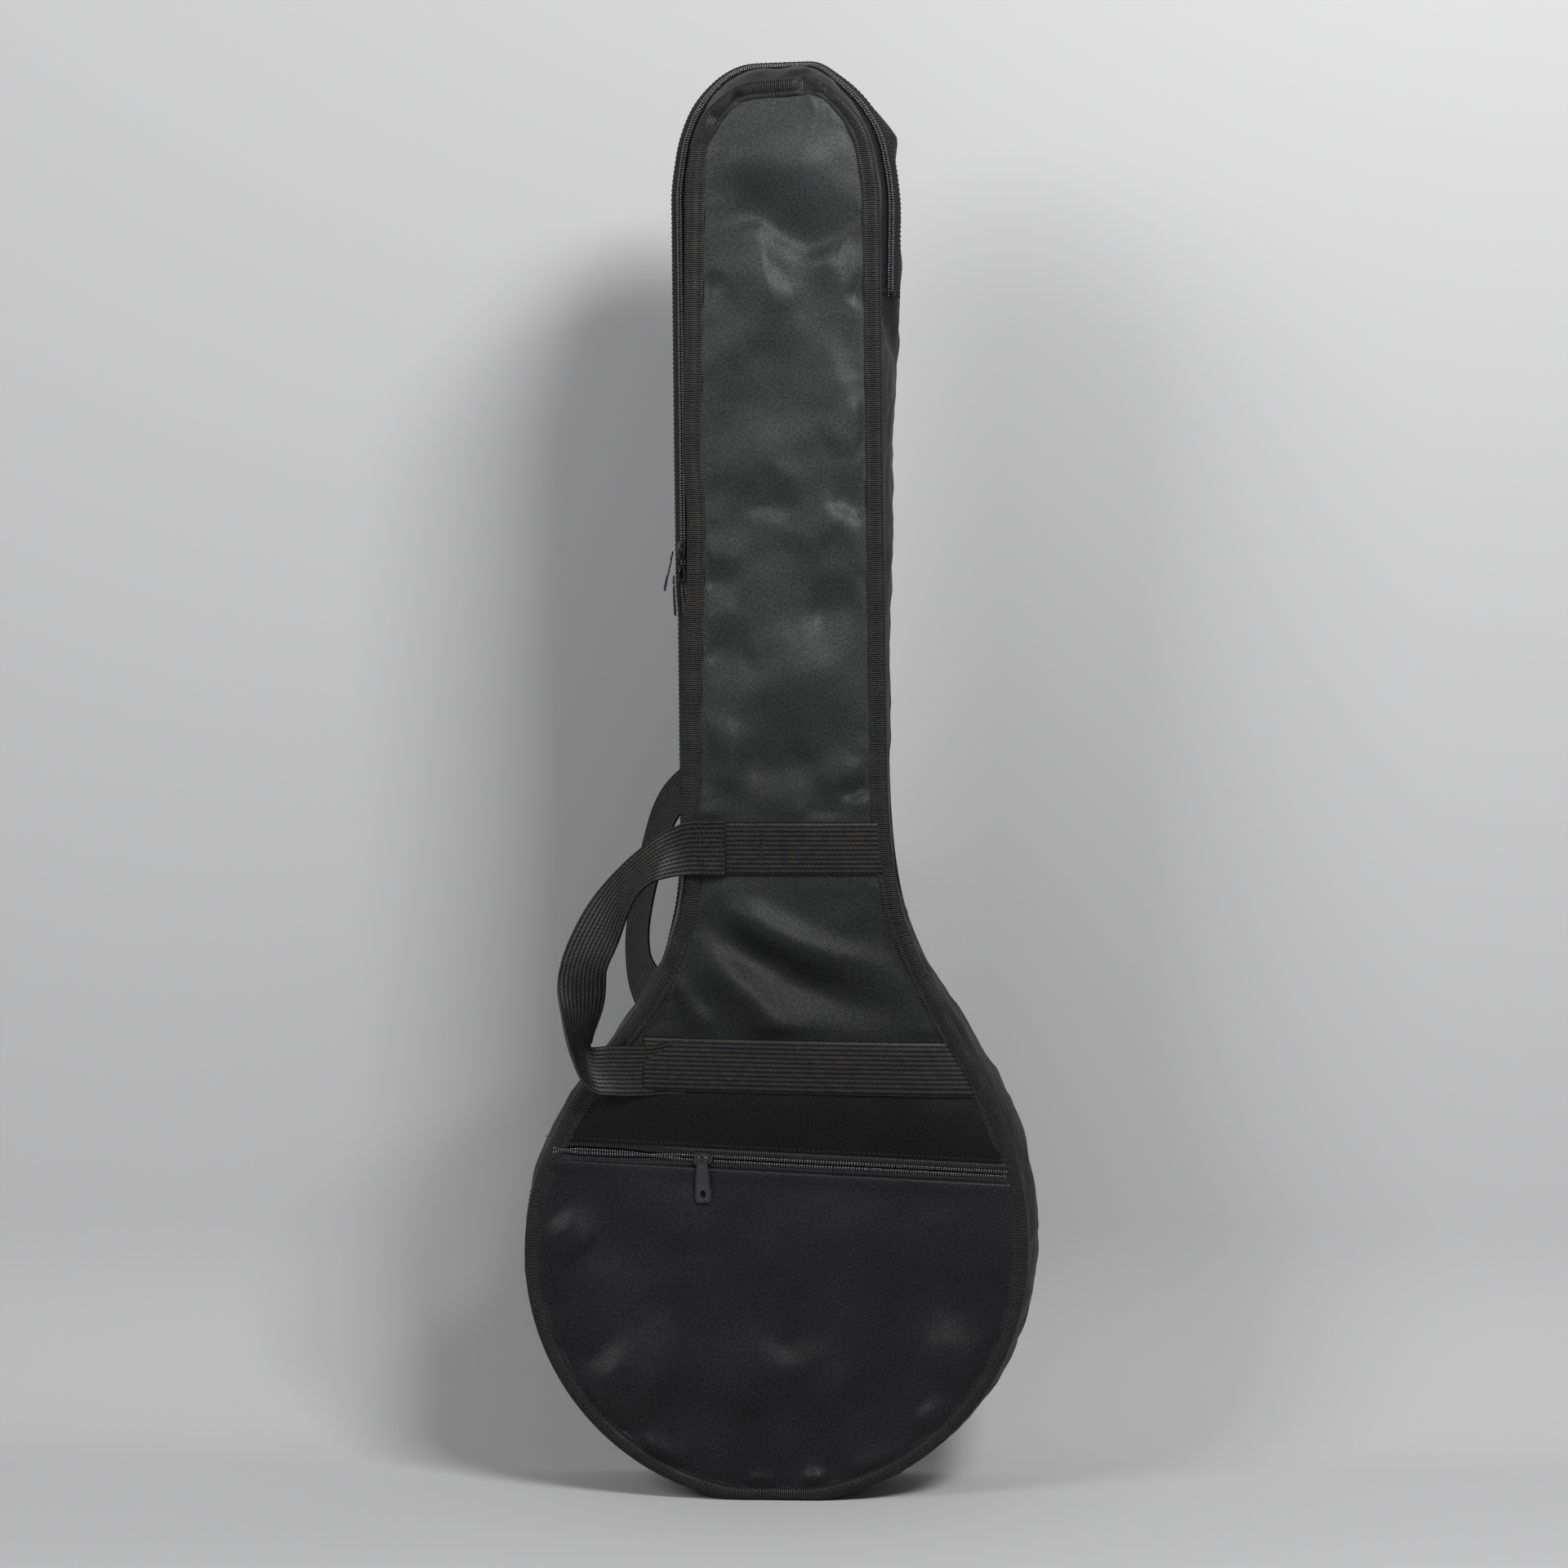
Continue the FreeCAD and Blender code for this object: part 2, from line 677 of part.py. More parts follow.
def make_pocket_slider():
    """The slider in the zip's frame, its zip along X, its outside towards -Y."""
    coil_far = pocket_front + size.pocket_coil_height
    plate_near = coil_far + size.slider_clear
    plate_far = plate_near + size.slider_plate
    back_near = size.front_face + size.slider_clear
    back_far = pocket_front - size.pocket_tape - size.slider_clear
    half = size.slider_half_length
    wide = size.slider_half_width
    web = size.slider_web_half
    bar_y = plate_far + size.pocket_pull_sleeve + size.slider_clear
    bar_reach = bar_y + size.pocket_bar_radius
    long = size.bridge_half_length
    leg = size.bridge_leg
    tall = size.bridge_half_width
    body = brick(Vector(-half, -plate_far, -wide), Vector(half, -plate_near, wide))
    body = body.fuse([
        brick(Vector(-half, -back_far, -wide), Vector(half, -back_near, wide)),
        brick(Vector(-half / 2, -plate_far, -web), Vector(half / 2, -back_near, web)),
        brick(Vector(-long, -bar_reach, -tall), Vector(-long + leg, -plate_far, tall)),
        brick(Vector(long - leg, -bar_reach, -tall), Vector(long, -plate_far, tall)),
        Part.makeCylinder(size.pocket_bar_radius, 2 * long, Vector(-long, -bar_y, 0), RIGHT),
    ]).removeSplitter()
    slide = Rotation(BACK, POCKET_ZIP_ANGLE)
    run = slide.multVec(RIGHT)
    at = Vector(0, 0, size.pocket_zip_z) + run * (size.pocket_slider_x / run.x)
    slider = shaped("pocket_zip_slider", body)
    slider.Placement = Placement(at, slide)

    tag = padded_sketch("pocket_zip_pull_tag", (
        ("-Dims.pocket_pull_top_half", "0"),
        ("-Dims.pocket_pull_end_half", "-Dims.pocket_pull_length + Dims.pocket_pull_end_half"),
        ("-Dims.pocket_pull_end_half / 2", "-Dims.pocket_pull_length"),
        ("Dims.pocket_pull_end_half / 2", "-Dims.pocket_pull_length"),
        ("Dims.pocket_pull_end_half", "-Dims.pocket_pull_length + Dims.pocket_pull_end_half"),
        ("Dims.pocket_pull_top_half", "0"),
    ), "Dims.pocket_pull_thick", (
        "0", "-Dims.pocket_pull_length + Dims.pocket_pull_end_half", "Dims.pull_hole_radius"))
    tag.Placement = Placement(Vector(0, size.pocket_pull_thick / 2, 0), Rotation())
    start = Vector(-size.pocket_pull_sleeve_length / 2, 0, 0)
    sleeve = rod("pocket_pull_sleeve_rod", "Dims.pocket_pull_sleeve",
                 "Dims.pocket_pull_sleeve_length", start, ALONG_X)
    bore = rod("pocket_pull_sleeve_bore", "Dims.pocket_pull_bore",
               "Dims.pocket_pull_sleeve_length", start, ALONG_X)
    pull = cut("pocket_zip_pull", join("pocket_pull_solid", [tag, sleeve]), bore)
    pull.Placement = Placement(at + Vector(0, -bar_y, 0), slide)
    keep(pull, "pocket_zip_pull")


# Straps and handles
def webbing(points, width, front, thickness):
    """A flat band of webbing along a line of points, with round turns."""
    half = width / 2
    band = None
    for start, end in zip(points, points[1:]):
        way = (end - start).normalize()
        across = Vector(way.z, 0, -way.x) * half
        corners = [start - across, end - across, end + across, start + across, start - across]
        face = Part.Face(Part.makePolygon([point + BACK * front for point in corners]))
        piece = face.extrude(BACK * thickness)
        turn = Part.makeCylinder(half, thickness, end + BACK * front, BACK)
        band = piece if band is None else band.fuse(piece)
        if end is not points[-1]:
            band = band.fuse(turn)
    return band.removeSplitter()


def exit_points(rise):
    """Where a handle leaves the straps, lower and upper: its swing axis runs through both."""
    lower = Vector(size.lower_exit_x, 0, size.lower_strap_z + rise)
    upper = Vector(size.upper_exit_x, 0, size.upper_strap_z + rise)
    return lower, upper


def beyond_exits(rise, clear):
    """Everything to the left of the exit line, less a clearance."""
    lower, upper = exit_points(rise)
    way = (upper - lower).normalize()
    outward = Vector(-way.z, 0, way.x)
    far = 2 * size.front_face
    low = lower - way * bag_wide + outward * clear - BACK * far
    high = upper + way * bag_wide + outward * clear - BACK * far
    corners = [low, high, high + outward * bag_wide, low + outward * bag_wide, low]
    return Part.Face(Part.makePolygon(corners)).extrude(BACK * (2 * far))


def handle_shape(rise, front):
    lower, upper = exit_points(rise)
    points = []
    for out_share, up_share in HANDLE_PATH_SHARES:
        points.append(lower + (upper - lower) * up_share - RIGHT * (size.handle_reach * out_share))
    points[0] = points[0] + RIGHT * size.upper_fold
    points[-1] = points[-1] + RIGHT * size.upper_fold
    band = webbing(points, size.webbing_width, front, size.handle_thick)
    return band.common(beyond_exits(rise, size.soft_gap))


def strap_shape(exit_at, fold, drop, face, outward, inner_face):
    """A strap sewn across a panel: one layer, and a second one at its folded left end."""
    right = Vector(bag_wide, 0, exit_at.z - drop)
    left = exit_at - RIGHT * size.webbing_width
    near, far = sorted((face, face + outward * size.webbing_thick))
    strap = webbing([left, right], size.webbing_width, near, far - near)
    near, far = sorted((face, inner_face))
    folded_end = exit_at + RIGHT * fold + Vector(0, 0, -drop * fold / (right.x - exit_at.x))
    fold_layer = webbing([left, folded_end], size.webbing_width, near, far - near)
    return strap.fuse(fold_layer).removeSplitter()


def make_straps_and_handles():
    field = edge.plate(size.binding_width, -2 * pocket_front, 4 * pocket_front)
    for name, rise, face, outward, inner_face in (
            ("front", 0.0, -size.front_face, -1, -handle_front),
            ("back", size.back_strap_rise, size.front_face, 1, rear_handle_back)):
        lower, upper = exit_points(rise)
        keep_off = beyond_exits(rise, 0)
        for level, exit_at, fold, drop in (
                ("upper", upper, size.upper_fold, 0.0),
                ("lower", lower, size.lower_fold, size.lower_strap_drop)):
            strap = strap_shape(exit_at, fold, drop, face, outward, inner_face)
            strap = strap.cut(keep_off).common(field)
            shaped("%s_%s_strap" % (name, level), strap)
    shaped("front_handle", handle_shape(0.0, -handle_front))
    lower, upper = exit_points(size.back_strap_rise)
    swing = Rotation(upper - lower, -BACK_HANDLE_SWING)
    back = shaped("back_handle", handle_shape(size.back_strap_rise, rear_handle_front))
    axis_point = lower + BACK * rear_handle_back
    back.Placement = Placement(axis_point, Rotation()) * Placement(Vector(0, 0, 0), swing) \
        * Placement(axis_point * -1, Rotation())


# Binding
def make_bindings():
    inner = size.binding_width
    pocket_items = [item.Shape for item in nodes
                    if item.Label == "pocket_panel" or item.Label.endswith("_strap")]
    depth = binding_front - size.front_face
    tape = edge.band(0, inner, -binding_front, depth)
    lip = edge.band(0, size.binding_lip, -size.front_face, size.panel_cloth)
    shaped("front_binding", tape.fuse(lip).removeSplitter().cut(pocket_items))
    tape = edge.band(0, inner, size.front_face, size.binding_band)
    lip = edge.band(0, size.binding_lip, seam_y, size.panel_cloth)
    shaped("back_binding", tape.fuse(lip).removeSplitter())


# Pot of the banjo
tone_front = size.head_film - size.head_plane
rim_front = tone_front + size.tone_ring_depth
hoop_back = size.skirt_depth - size.head_plane
hoop_front = -size.head_plane - size.hoop_proud


def make_pot():
    at = Vector(size.banjo_x, 0, pot_z)
    wall = ring("rim_tube", "Dims.rim_radius", "Dims.rim_radius - Dims.rim_wall",
                "Dims.rim_depth", rim_front)
    hole = rod("rim_rod_hole", "Dims.rod_radius + Dims.rod_bore_gap",
               "2 * (Dims.rim_radius + Dims.shoe_stand)",
               at + Vector(0, size.rod_depth_y, -shoe_radius))
    keep(cut("rim", wall, hole), "rim")
    keep(ring("tone_ring", "Dims.rim_radius", "Dims.rim_radius - Dims.tone_ring_wall",
              "Dims.tone_ring_depth", tone_front), "tone_ring")
    skirt_size = "Dims.rim_radius + Dims.skirt_stand"
    film = rod("head_film_disc", skirt_size, "Dims.head_film",
               at - BACK * size.head_plane, ALONG_Y)
    skirt = ring("head_skirt", skirt_size, skirt_size + " - Dims.skirt_wall",
                 "Dims.skirt_depth", -size.head_plane)
    flesh = ring("head_flesh_ring", "Dims.rim_radius + Dims.flesh_stand",
                 "Dims.rim_radius + Dims.flesh_gap", "Dims.flesh_depth", hoop_back)
    keep(join("drum_head", [film, skirt, flesh]), "drum_head")
    keep(ring("tension_hoop", "Dims.rim_radius + Dims.hoop_stand",
              "Dims.rim_radius + Dims.hoop_gap", "Dims.skirt_depth + Dims.hoop_proud",
              hoop_front), "tension_hoop")


def round_pot(label, shape):
    """Copies of one piece on every hook place round the pot."""
    centre = Vector(size.banjo_x, 0, pot_z)
    step = 360.0 / HOOK_COUNT
    copies = []
    for index in range(HOOK_COUNT):
        copy = shape.copy()
        copy.rotate(centre, BACK, step * (index + 0.5))
        copies.append(copy)
    return shaped(label, Part.Compound(copies))


def make_brackets():
    centre = Vector(size.banjo_x, 0, pot_z)
    top = centre + UP * hook_circle
    half = size.shoe_half_width
    shoe = brick(Vector(centre.x - half, size.shoe_top - size.shoe_depth, pot_z),
                 Vector(centre.x + half, size.shoe_top, pot_z + shoe_radius))
    core = Part.makeCylinder(size.rim_radius, 2 * size.front_face, centre - BACK * size.front_face, BACK)
    bore = Part.makeCylinder(size.hook_rod + size.rod_bore_gap, 2 * size.front_face,
                             top - BACK * size.front_face, BACK)
    round_pot("bracket_shoes", shoe.cut(core).cut(bore))
    stem = Part.makeCylinder(size.hook_rod, size.hook_length, top + BACK * hoop_front, BACK)
    claw_half = size.hook_claw_half
    claw = brick(Vector(centre.x - claw_half, hoop_front - size.hook_claw,
                        top.z - size.hook_claw_reach),
                 Vector(centre.x + claw_half, hoop_front, top.z + size.hook_rod))
    round_pot("bracket_hooks", stem.fuse(claw).removeSplitter())
    nut = Part.makeCylinder(size.nut_radius, size.bracket_nut_depth, top + BACK * size.shoe_top, BACK)
    round_pot("bracket_nuts", nut.cut(stem))


def make_coordinator_rod():
    tail = pot_z - size.rim_radius - size.rod_nut_thick - size.rod_tail
    high = pot_z + size.rim_radius + size.heel_length / 2
    axis = Vector(size.banjo_x, size.rod_depth_y, tail)
    shaft = Part.makeCylinder(size.rod_radius, high - tail, axis, UP)
    shaped("coordinator_rod", shaft)
    nut = Part.makeCylinder(size.rod_nut_radius, size.rod_nut_thick, Vector(0, 0, 0), UP)
    core = Part.makeCylinder(size.rim_radius, 2 * size.front_face,
                             Vector(size.banjo_x, -size.front_face, pot_z), BACK)
    inner = Part.makeCylinder(rim_bore, 2 * size.front_face,
                              Vector(size.banjo_x, -size.front_face, pot_z), BACK)
    nuts = []
    seat_sink = rim_bore - math.sqrt(rim_bore ** 2 - size.rod_nut_radius ** 2)
    for low, tool, inside in (
            (pot_z + rim_bore - size.rod_nut_thick, inner, True),
            (pot_z - rim_bore - seat_sink, inner, True),
            (pot_z - size.rim_radius - size.rod_nut_thick, core, False)):
        piece = nut.copy()
        piece.translate(Vector(size.banjo_x, size.rod_depth_y, low))
        piece = piece.common(tool) if inside else piece.cut(tool)
        nuts.append(piece.cut(shaft))
    shaped("rod_nuts", Part.Compound(nuts))


# Neck
board_back = size.board_front - size.board_thick


def neck_section(half_width, depth, height):
    """A D-shaped section: flat under the fingerboard, round behind."""
    face_y = -board_back
    left = Vector(size.banjo_x - half_width, face_y, height)
    right = Vector(size.banjo_x + half_width, face_y, height)
    rear = Vector(size.banjo_x, face_y + depth, height)
    return Part.Wire([line(left, right), arc(right, rear, left)])


def peghead_shape():
    """The peghead in its own frame: face at Y zero, starting at the string nut."""
    low = size.peghead_half_low
    wide = size.peghead_half_wide
    long = size.peghead_length
    waist_share, wide_share, dip_share = PEGHEAD_HEIGHT_SHARES
    corners = [
        Vector(-size.neck_half_at_top, 0, 0),
        Vector(size.neck_half_at_top, 0, 0),
        Vector(low, 0, long * waist_share),
        Vector(wide, 0, long * wide_share),
        Vector(wide / 2, 0, long),
        Vector(0, 0, long * dip_share),
        Vector(-wide / 2, 0, long),
        Vector(-wide, 0, long * wide_share),
        Vector(-low, 0, long * waist_share),
        Vector(-size.neck_half_at_top, 0, 0),
    ]
    board = Part.Face(Part.makePolygon(corners)).extrude(BACK * size.peghead_thick)
    for side, height in tuner_places():
        hole = Part.makeCylinder(size.post_radius + size.post_gap, size.peghead_thick,
                                 Vector(side * size.tuner_across, 0, height), BACK)
        board = board.cut(hole)
    return board


def tuner_places():
    places = []
    for row in range(2):
        for side in (-1, 1):
            places.append((side, size.tuner_low + row * size.tuner_pitch))
    return places


def peghead_placement():
    at = Vector(size.banjo_x, -board_back, neck_top_z)
    return Placement(at, Rotation(RIGHT, -PEGHEAD_ANGLE))


def make_neck():
    sections = [
        neck_section(size.neck_half_at_pot, size.neck_depth_at_pot, neck_low),
        neck_section(size.neck_half_at_fifth, size.neck_depth_at_top, fifth_z),
        neck_section(size.neck_half_at_top, size.neck_depth_at_top, neck_top_z),
    ]
    grip = Part.makeLoft(sections, True, True)
    heel_low = pot_z + rim_bore
    heel = brick(Vector(size.banjo_x - size.heel_half_width, hoop_back + size.flesh_depth + size.soft_gap,
                        heel_low),
                 Vector(size.banjo_x + size.heel_half_width, size.heel_back,
                        neck_low + size.heel_length))
    centre = Vector(size.banjo_x, -size.front_face, pot_z)
    core = Part.makeCylinder(size.rim_radius, 2 * size.front_face, centre, BACK)
    bore = Part.makeCylinder(size.rod_radius, size.heel_length,
                             Vector(size.banjo_x, size.rod_depth_y,
                                    pot_z + size.rim_radius - size.heel_length / 2), UP)
    front_block = brick(
        Vector(size.banjo_x - size.heel_half_width, -board_back, neck_low),
        Vector(size.banjo_x + size.heel_half_width, size.heel_back, neck_low + size.heel_length))
    head = peghead_shape()
    head.Placement = peghead_placement()
    body = grip.fuse([heel.cut(core), front_block, head]).cut(bore)
    side = size.neck_half_at_fifth
    peg_hole = Part.makeCylinder(size.fifth_shaft_radius + size.post_gap, side,
                                 Vector(size.banjo_x - side, size.fifth_drop - board_back,
                                        fifth_z), RIGHT)
    shaped("neck", body.removeSplitter().cut(peg_hole))


def make_fingerboard():
    low = neck_low
    board = padded_sketch("fingerboard", (
        ("-Dims.neck_half_at_pot", "0"),
        ("Dims.neck_half_at_pot", "0"),
        ("Dims.neck_half_at_fifth", str(fifth_z - low)),
        ("Dims.neck_half_at_top", str(nut_z - low)),
        ("-Dims.neck_half_at_top", str(nut_z - low)),
        ("-Dims.neck_half_at_fifth", str(fifth_z - low)),
    ), "Dims.board_thick")
    board.Placement = Placement(Vector(size.banjo_x, -board_back, low), Rotation())
    keep(board, "fingerboard")


def board_half_width(height):
    """Half the fingerboard's width at a height."""
    if height < fifth_z:
        share = (height - neck_low) / (fifth_z - neck_low)
        return size.neck_half_at_pot + share * (size.neck_half_at_fifth - size.neck_half_at_pot)
    share = (height - fifth_z) / (nut_z - fifth_z)
    return size.neck_half_at_fifth + share * (size.neck_half_at_top - size.neck_half_at_fifth)


def fret_height(number):
    return nut_z - size.scale_length * (1 - 2 ** (-number / 12.0))


def make_frets_and_dots():
    frets = []
    for number in range(1, FRET_COUNT + 1):
        height = fret_height(number)
        half = board_half_width(height)
        low = Vector(size.banjo_x - half, -size.board_front - size.fret_height,
                     height - size.fret_width / 2)
        high = Vector(size.banjo_x + half, -size.board_front, height + size.fret_width / 2)
        frets.append(brick(low, high))
    shaped("frets", Part.Compound(frets))
    dots = []
    for number in DOT_FRET_COUNTS:
        height = (fret_height(number) + fret_height(number - 1)) / 2
        at = Vector(size.banjo_x, -size.board_front - size.dot_thick, height)
        dots.append(Part.makeCylinder(size.dot_radius, size.dot_thick, at, BACK))
    shaped("position_dots", Part.Compound(dots))


def make_string_nut():
    rise = "Dims.board_thick + Dims.string_nut_rise"
    nut = block("string_nut", "2 * Dims.neck_half_at_top", rise, "Dims.string_nut_length",
                Vector(size.banjo_x - size.neck_half_at_top, -size.board_front - size.string_nut_rise, nut_z))
    keep(nut, "string_nut")


# Tuners
def make_tuners():
    frame = peghead_placement()
    back = size.peghead_thick
    housings = []
    for index, (side, height) in enumerate(tuner_places(), start=1):
        at = Vector(side * size.tuner_across, 0, height)
        case = brick(at + Vector(-size.housing_half_width, back, -size.housing_half_length),
                     at + Vector(size.housing_half_width, back + size.housing_depth,
                                 size.housing_half_length))
        pocket = Part.makeCylinder(size.post_radius + size.post_gap,
                                   size.housing_depth - size.housing_wall, at + BACK * back, BACK)
        case = case.cut(pocket)
        case.Placement = frame * case.Placement
        housings.append(case)
        length = ("Dims.post_rise + Dims.peghead_thick + Dims.housing_depth"
                  " - Dims.housing_wall - Dims.post_gap")
        post = rod("tuner_post_%d" % index, "Dims.post_radius", length,
                   Vector(0, 0, 0), Rotation())
        post.Placement = frame * Placement(at - BACK * size.post_rise, ALONG_Y)
        keep(post, "tuner_post_%d" % index)
        make_button(index, frame, side, at)
    shaped("tuner_housings", Part.Compound(housings))


def make_button(index, frame, side, at):
    """A side button on its shaft; it turns about the shaft's axis."""
    name = "tuner_button_%d" % index
    start = at + Vector(side * (size.housing_half_width + size.post_gap), 0, 0)
    start.y = size.peghead_thick + size.housing_depth / 2
    turn = ALONG_X if side > 0 else Rotation(BACK, -90)
    shaft = rod(name + "_shaft", "Dims.button_shaft_radius",
                "Dims.button_shaft_length + Dims.button_radius / 2", start, turn)
    middle = start + RIGHT * (side * (size.button_shaft_length + size.button_radius))
    disc = rod(name + "_disc", "Dims.button_radius", "Dims.button_thick",
               middle - BACK * (size.button_thick / 2), ALONG_Y)
    button = join(name, [shaft, disc])
    button.Placement = frame
    keep(button, name)


def make_fifth_tuner():
    """The fifth string's peg, in the side of the neck by the fifth fret."""
    side = size.neck_half_at_fifth
    y = size.fifth_drop - board_back
    tip = Vector(size.banjo_x - side + size.fifth_shaft_length, y, fifth_z)
    start = Vector(size.banjo_x - side - size.fifth_shaft_length, y, fifth_z)
    shaft = rod("fifth_tuner_shaft", "Dims.fifth_shaft_radius",
                "2 * Dims.fifth_shaft_length - Dims.post_gap", start, ALONG_X)
    disc = rod("fifth_tuner_disc", "Dims.button_radius", "Dims.button_thick",
               start - BACK * (size.button_thick / 2) - RIGHT * (size.button_radius / 2), ALONG_Y)
    keep(join("fifth_tuner", [shaft, disc]), "fifth_tuner")


# Bridge, tailpiece and strings
def make_bridge():
    foot = "Dims.bridge_foot"
    span = "Dims.bridge_half_span"
    tall = "Dims.bridge_height"
    arch = "Dims.bridge_arch"
    top = "Dims.bridge_half_span - Dims.bridge_foot"
    piece = padded_sketch("bridge", (
        ("-" + span, "0"),
        ("-" + span + " + " + foot, "0"),
        ("-" + foot, arch),
        ("-" + foot + " / 2", "0"),
        (foot + " / 2", "0"),
        (foot, arch),
        (span + " - " + foot, "0"),
        (span, "0"),
        (top, tall),
        ("-(" + top + ")", tall),
    ), "Dims.bridge_thick")
    stand = Rotation(RIGHT, 90)
    piece.Placement = Placement(
        Vector(size.banjo_x, -size.head_plane, bridge_z + size.bridge_thick / 2), stand)
    keep(piece, "bridge")


def string_pin(height_share):
    """Y of the strings' centre line at the bridge or the nut."""
    bridge_y = -(size.head_plane + size.bridge_height + size.string_radius)
    nut_y = -(size.board_front + size.string_nut_rise + size.string_radius)
    return bridge_y + (nut_y - bridge_y) * height_share


def make_tailpiece():
    low = pot_z - hoop_radius
    high = low + size.tailpiece_length
    plate_back = -(size.head_plane + size.hoop_proud + size.tailpiece_lift)
    plate = brick(
        Vector(size.banjo_x - size.tailpiece_half_width, plate_back - size.tailpiece_thick,
               low - size.tailpiece_thick),
        Vector(size.banjo_x + size.tailpiece_half_width, plate_back, high))
    leg_half = size.rod_nut_radius + size.tailpiece_thick
    leg = brick(
        Vector(size.banjo_x - leg_half, plate_back - size.tailpiece_thick,
               low - size.tailpiece_thick),
        Vector(size.banjo_x + leg_half, size.rod_depth_y + size.rod_nut_radius, low))
    slot = Part.makeCylinder(size.rod_radius + size.rod_bore_gap, 2 * size.tailpiece_length,
                             Vector(size.banjo_x, size.rod_depth_y, pot_z - shoe_radius), UP)
    shaped("tailpiece", plate.fuse(leg).removeSplitter().cut(slot))
    return high, plate_back - size.tailpiece_thick


def string_line(points):
    """A string of straight runs, whose many-sided section stays level at every bend."""
    start = RIGHT * size.string_radius
    turn = 360.0 / STRING_SIDES
    sections = []
    for point in points:
        ring_points = [point + Rotation(UP, turn * (side + 0.5)).multVec(start)
                       for side in range(STRING_SIDES)]
        sections.append(Part.makePolygon(ring_points + ring_points[:1]))
    return Part.makeLoft(sections, True, True)


def make_strings(tail_z, tail_y):
    frame = peghead_placement()
    places = tuner_places()
    # which tuner each string winds on; the first string ends at the fifth-string peg
    order = (None, 0, 2, 3, 1)
    strings = []
    middle = (STRING_COUNT - 1) / 2
    for index in range(STRING_COUNT):
        spread = index - middle
        tail = Vector(size.banjo_x + spread * size.string_pitch_nut, tail_y - size.string_radius, tail_z)
        middle_saddle = Vector(size.banjo_x + spread * size.string_pitch_bridge, string_pin(0), bridge_z)
        low_saddle = middle_saddle - UP * (size.bridge_thick / 2)
        high_saddle = middle_saddle + UP * (size.bridge_thick / 2)
        if order[index] is None:
            end = Vector(size.banjo_x - size.neck_half_at_fifth - size.fifth_shaft_radius,
                         -size.board_front - size.string_nut_rise, fifth_z)
            strings.append(string_line([tail, low_saddle, high_saddle, end]))
            continue
        nut_spread = spread - 0.5
        nut = Vector(size.banjo_x + nut_spread * size.string_pitch_nut, string_pin(1), neck_top_z)
        side, height = places[order[index]]
        reach = size.tuner_across - size.post_radius - size.string_radius - size.post_gap
        post = frame.multVec(Vector(side * reach, -size.post_rise / 2, height))
        strings.append(string_line([tail, low_saddle, high_saddle, nut, post]))
    shaped("strings", Part.Compound(strings))


make_panels()
make_gussets()
make_main_zip()
make_main_sliders()
make_pocket()
make_pocket_slider()
make_straps_and_handles()
make_bindings()
make_pot()
make_brackets()
make_coordinator_rod()
make_neck()
make_fingerboard()
make_frets_and_dots()
make_string_nut()
make_tuners()
make_fifth_tuner()
make_bridge()
make_strings(*make_tailpiece())
doc.recompute()

# Every object must be sound before anything is written
for item in doc.Objects:
    if "Invalid" in item.State or "Error" in item.State:
        raise RuntimeError("failed object: " + item.Name)
for item in nodes:
    if item.Shape.isNull() or not item.Shape.isValid():
        raise RuntimeError("bad shape: " + item.Label)

os.makedirs("parts", exist_ok=True)
for item in nodes:
    item.Shape.exportStep(os.path.join("parts", item.Label + ".step"))
    box = item.Shape.BoundBox
    print("%-24s %2d solids %10.0f mm3  x %.1f %.1f  y %.1f %.1f  z %.1f %.1f" % (
        item.Label, len(item.Shape.Solids), item.Shape.Volume,
        box.XMin, box.XMax, box.YMin, box.YMax, box.ZMin, box.ZMax))
print(len(nodes), "sub-parts")
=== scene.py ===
"""Looks of a banjo gig bag: sewn cloth, ribbed bindings, webbing, zips and the banjo inside."""
import json
import math

import bpy
import numpy as np
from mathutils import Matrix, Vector


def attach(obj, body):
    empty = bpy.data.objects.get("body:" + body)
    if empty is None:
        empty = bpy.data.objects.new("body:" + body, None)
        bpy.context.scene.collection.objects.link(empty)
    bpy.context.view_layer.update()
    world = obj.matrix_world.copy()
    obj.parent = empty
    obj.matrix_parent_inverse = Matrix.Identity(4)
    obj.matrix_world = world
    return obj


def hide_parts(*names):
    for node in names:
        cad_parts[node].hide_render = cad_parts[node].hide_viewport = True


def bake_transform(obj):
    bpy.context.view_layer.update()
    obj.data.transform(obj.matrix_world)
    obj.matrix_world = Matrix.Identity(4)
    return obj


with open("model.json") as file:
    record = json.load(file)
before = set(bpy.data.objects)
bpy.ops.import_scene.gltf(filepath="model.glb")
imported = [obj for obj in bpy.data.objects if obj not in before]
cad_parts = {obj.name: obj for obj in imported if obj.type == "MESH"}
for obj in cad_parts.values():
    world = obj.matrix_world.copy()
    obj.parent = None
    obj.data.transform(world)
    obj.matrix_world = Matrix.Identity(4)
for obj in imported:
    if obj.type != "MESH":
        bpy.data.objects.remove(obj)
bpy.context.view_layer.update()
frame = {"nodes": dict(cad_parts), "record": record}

MM = 0.001
BAG = "packed bag"

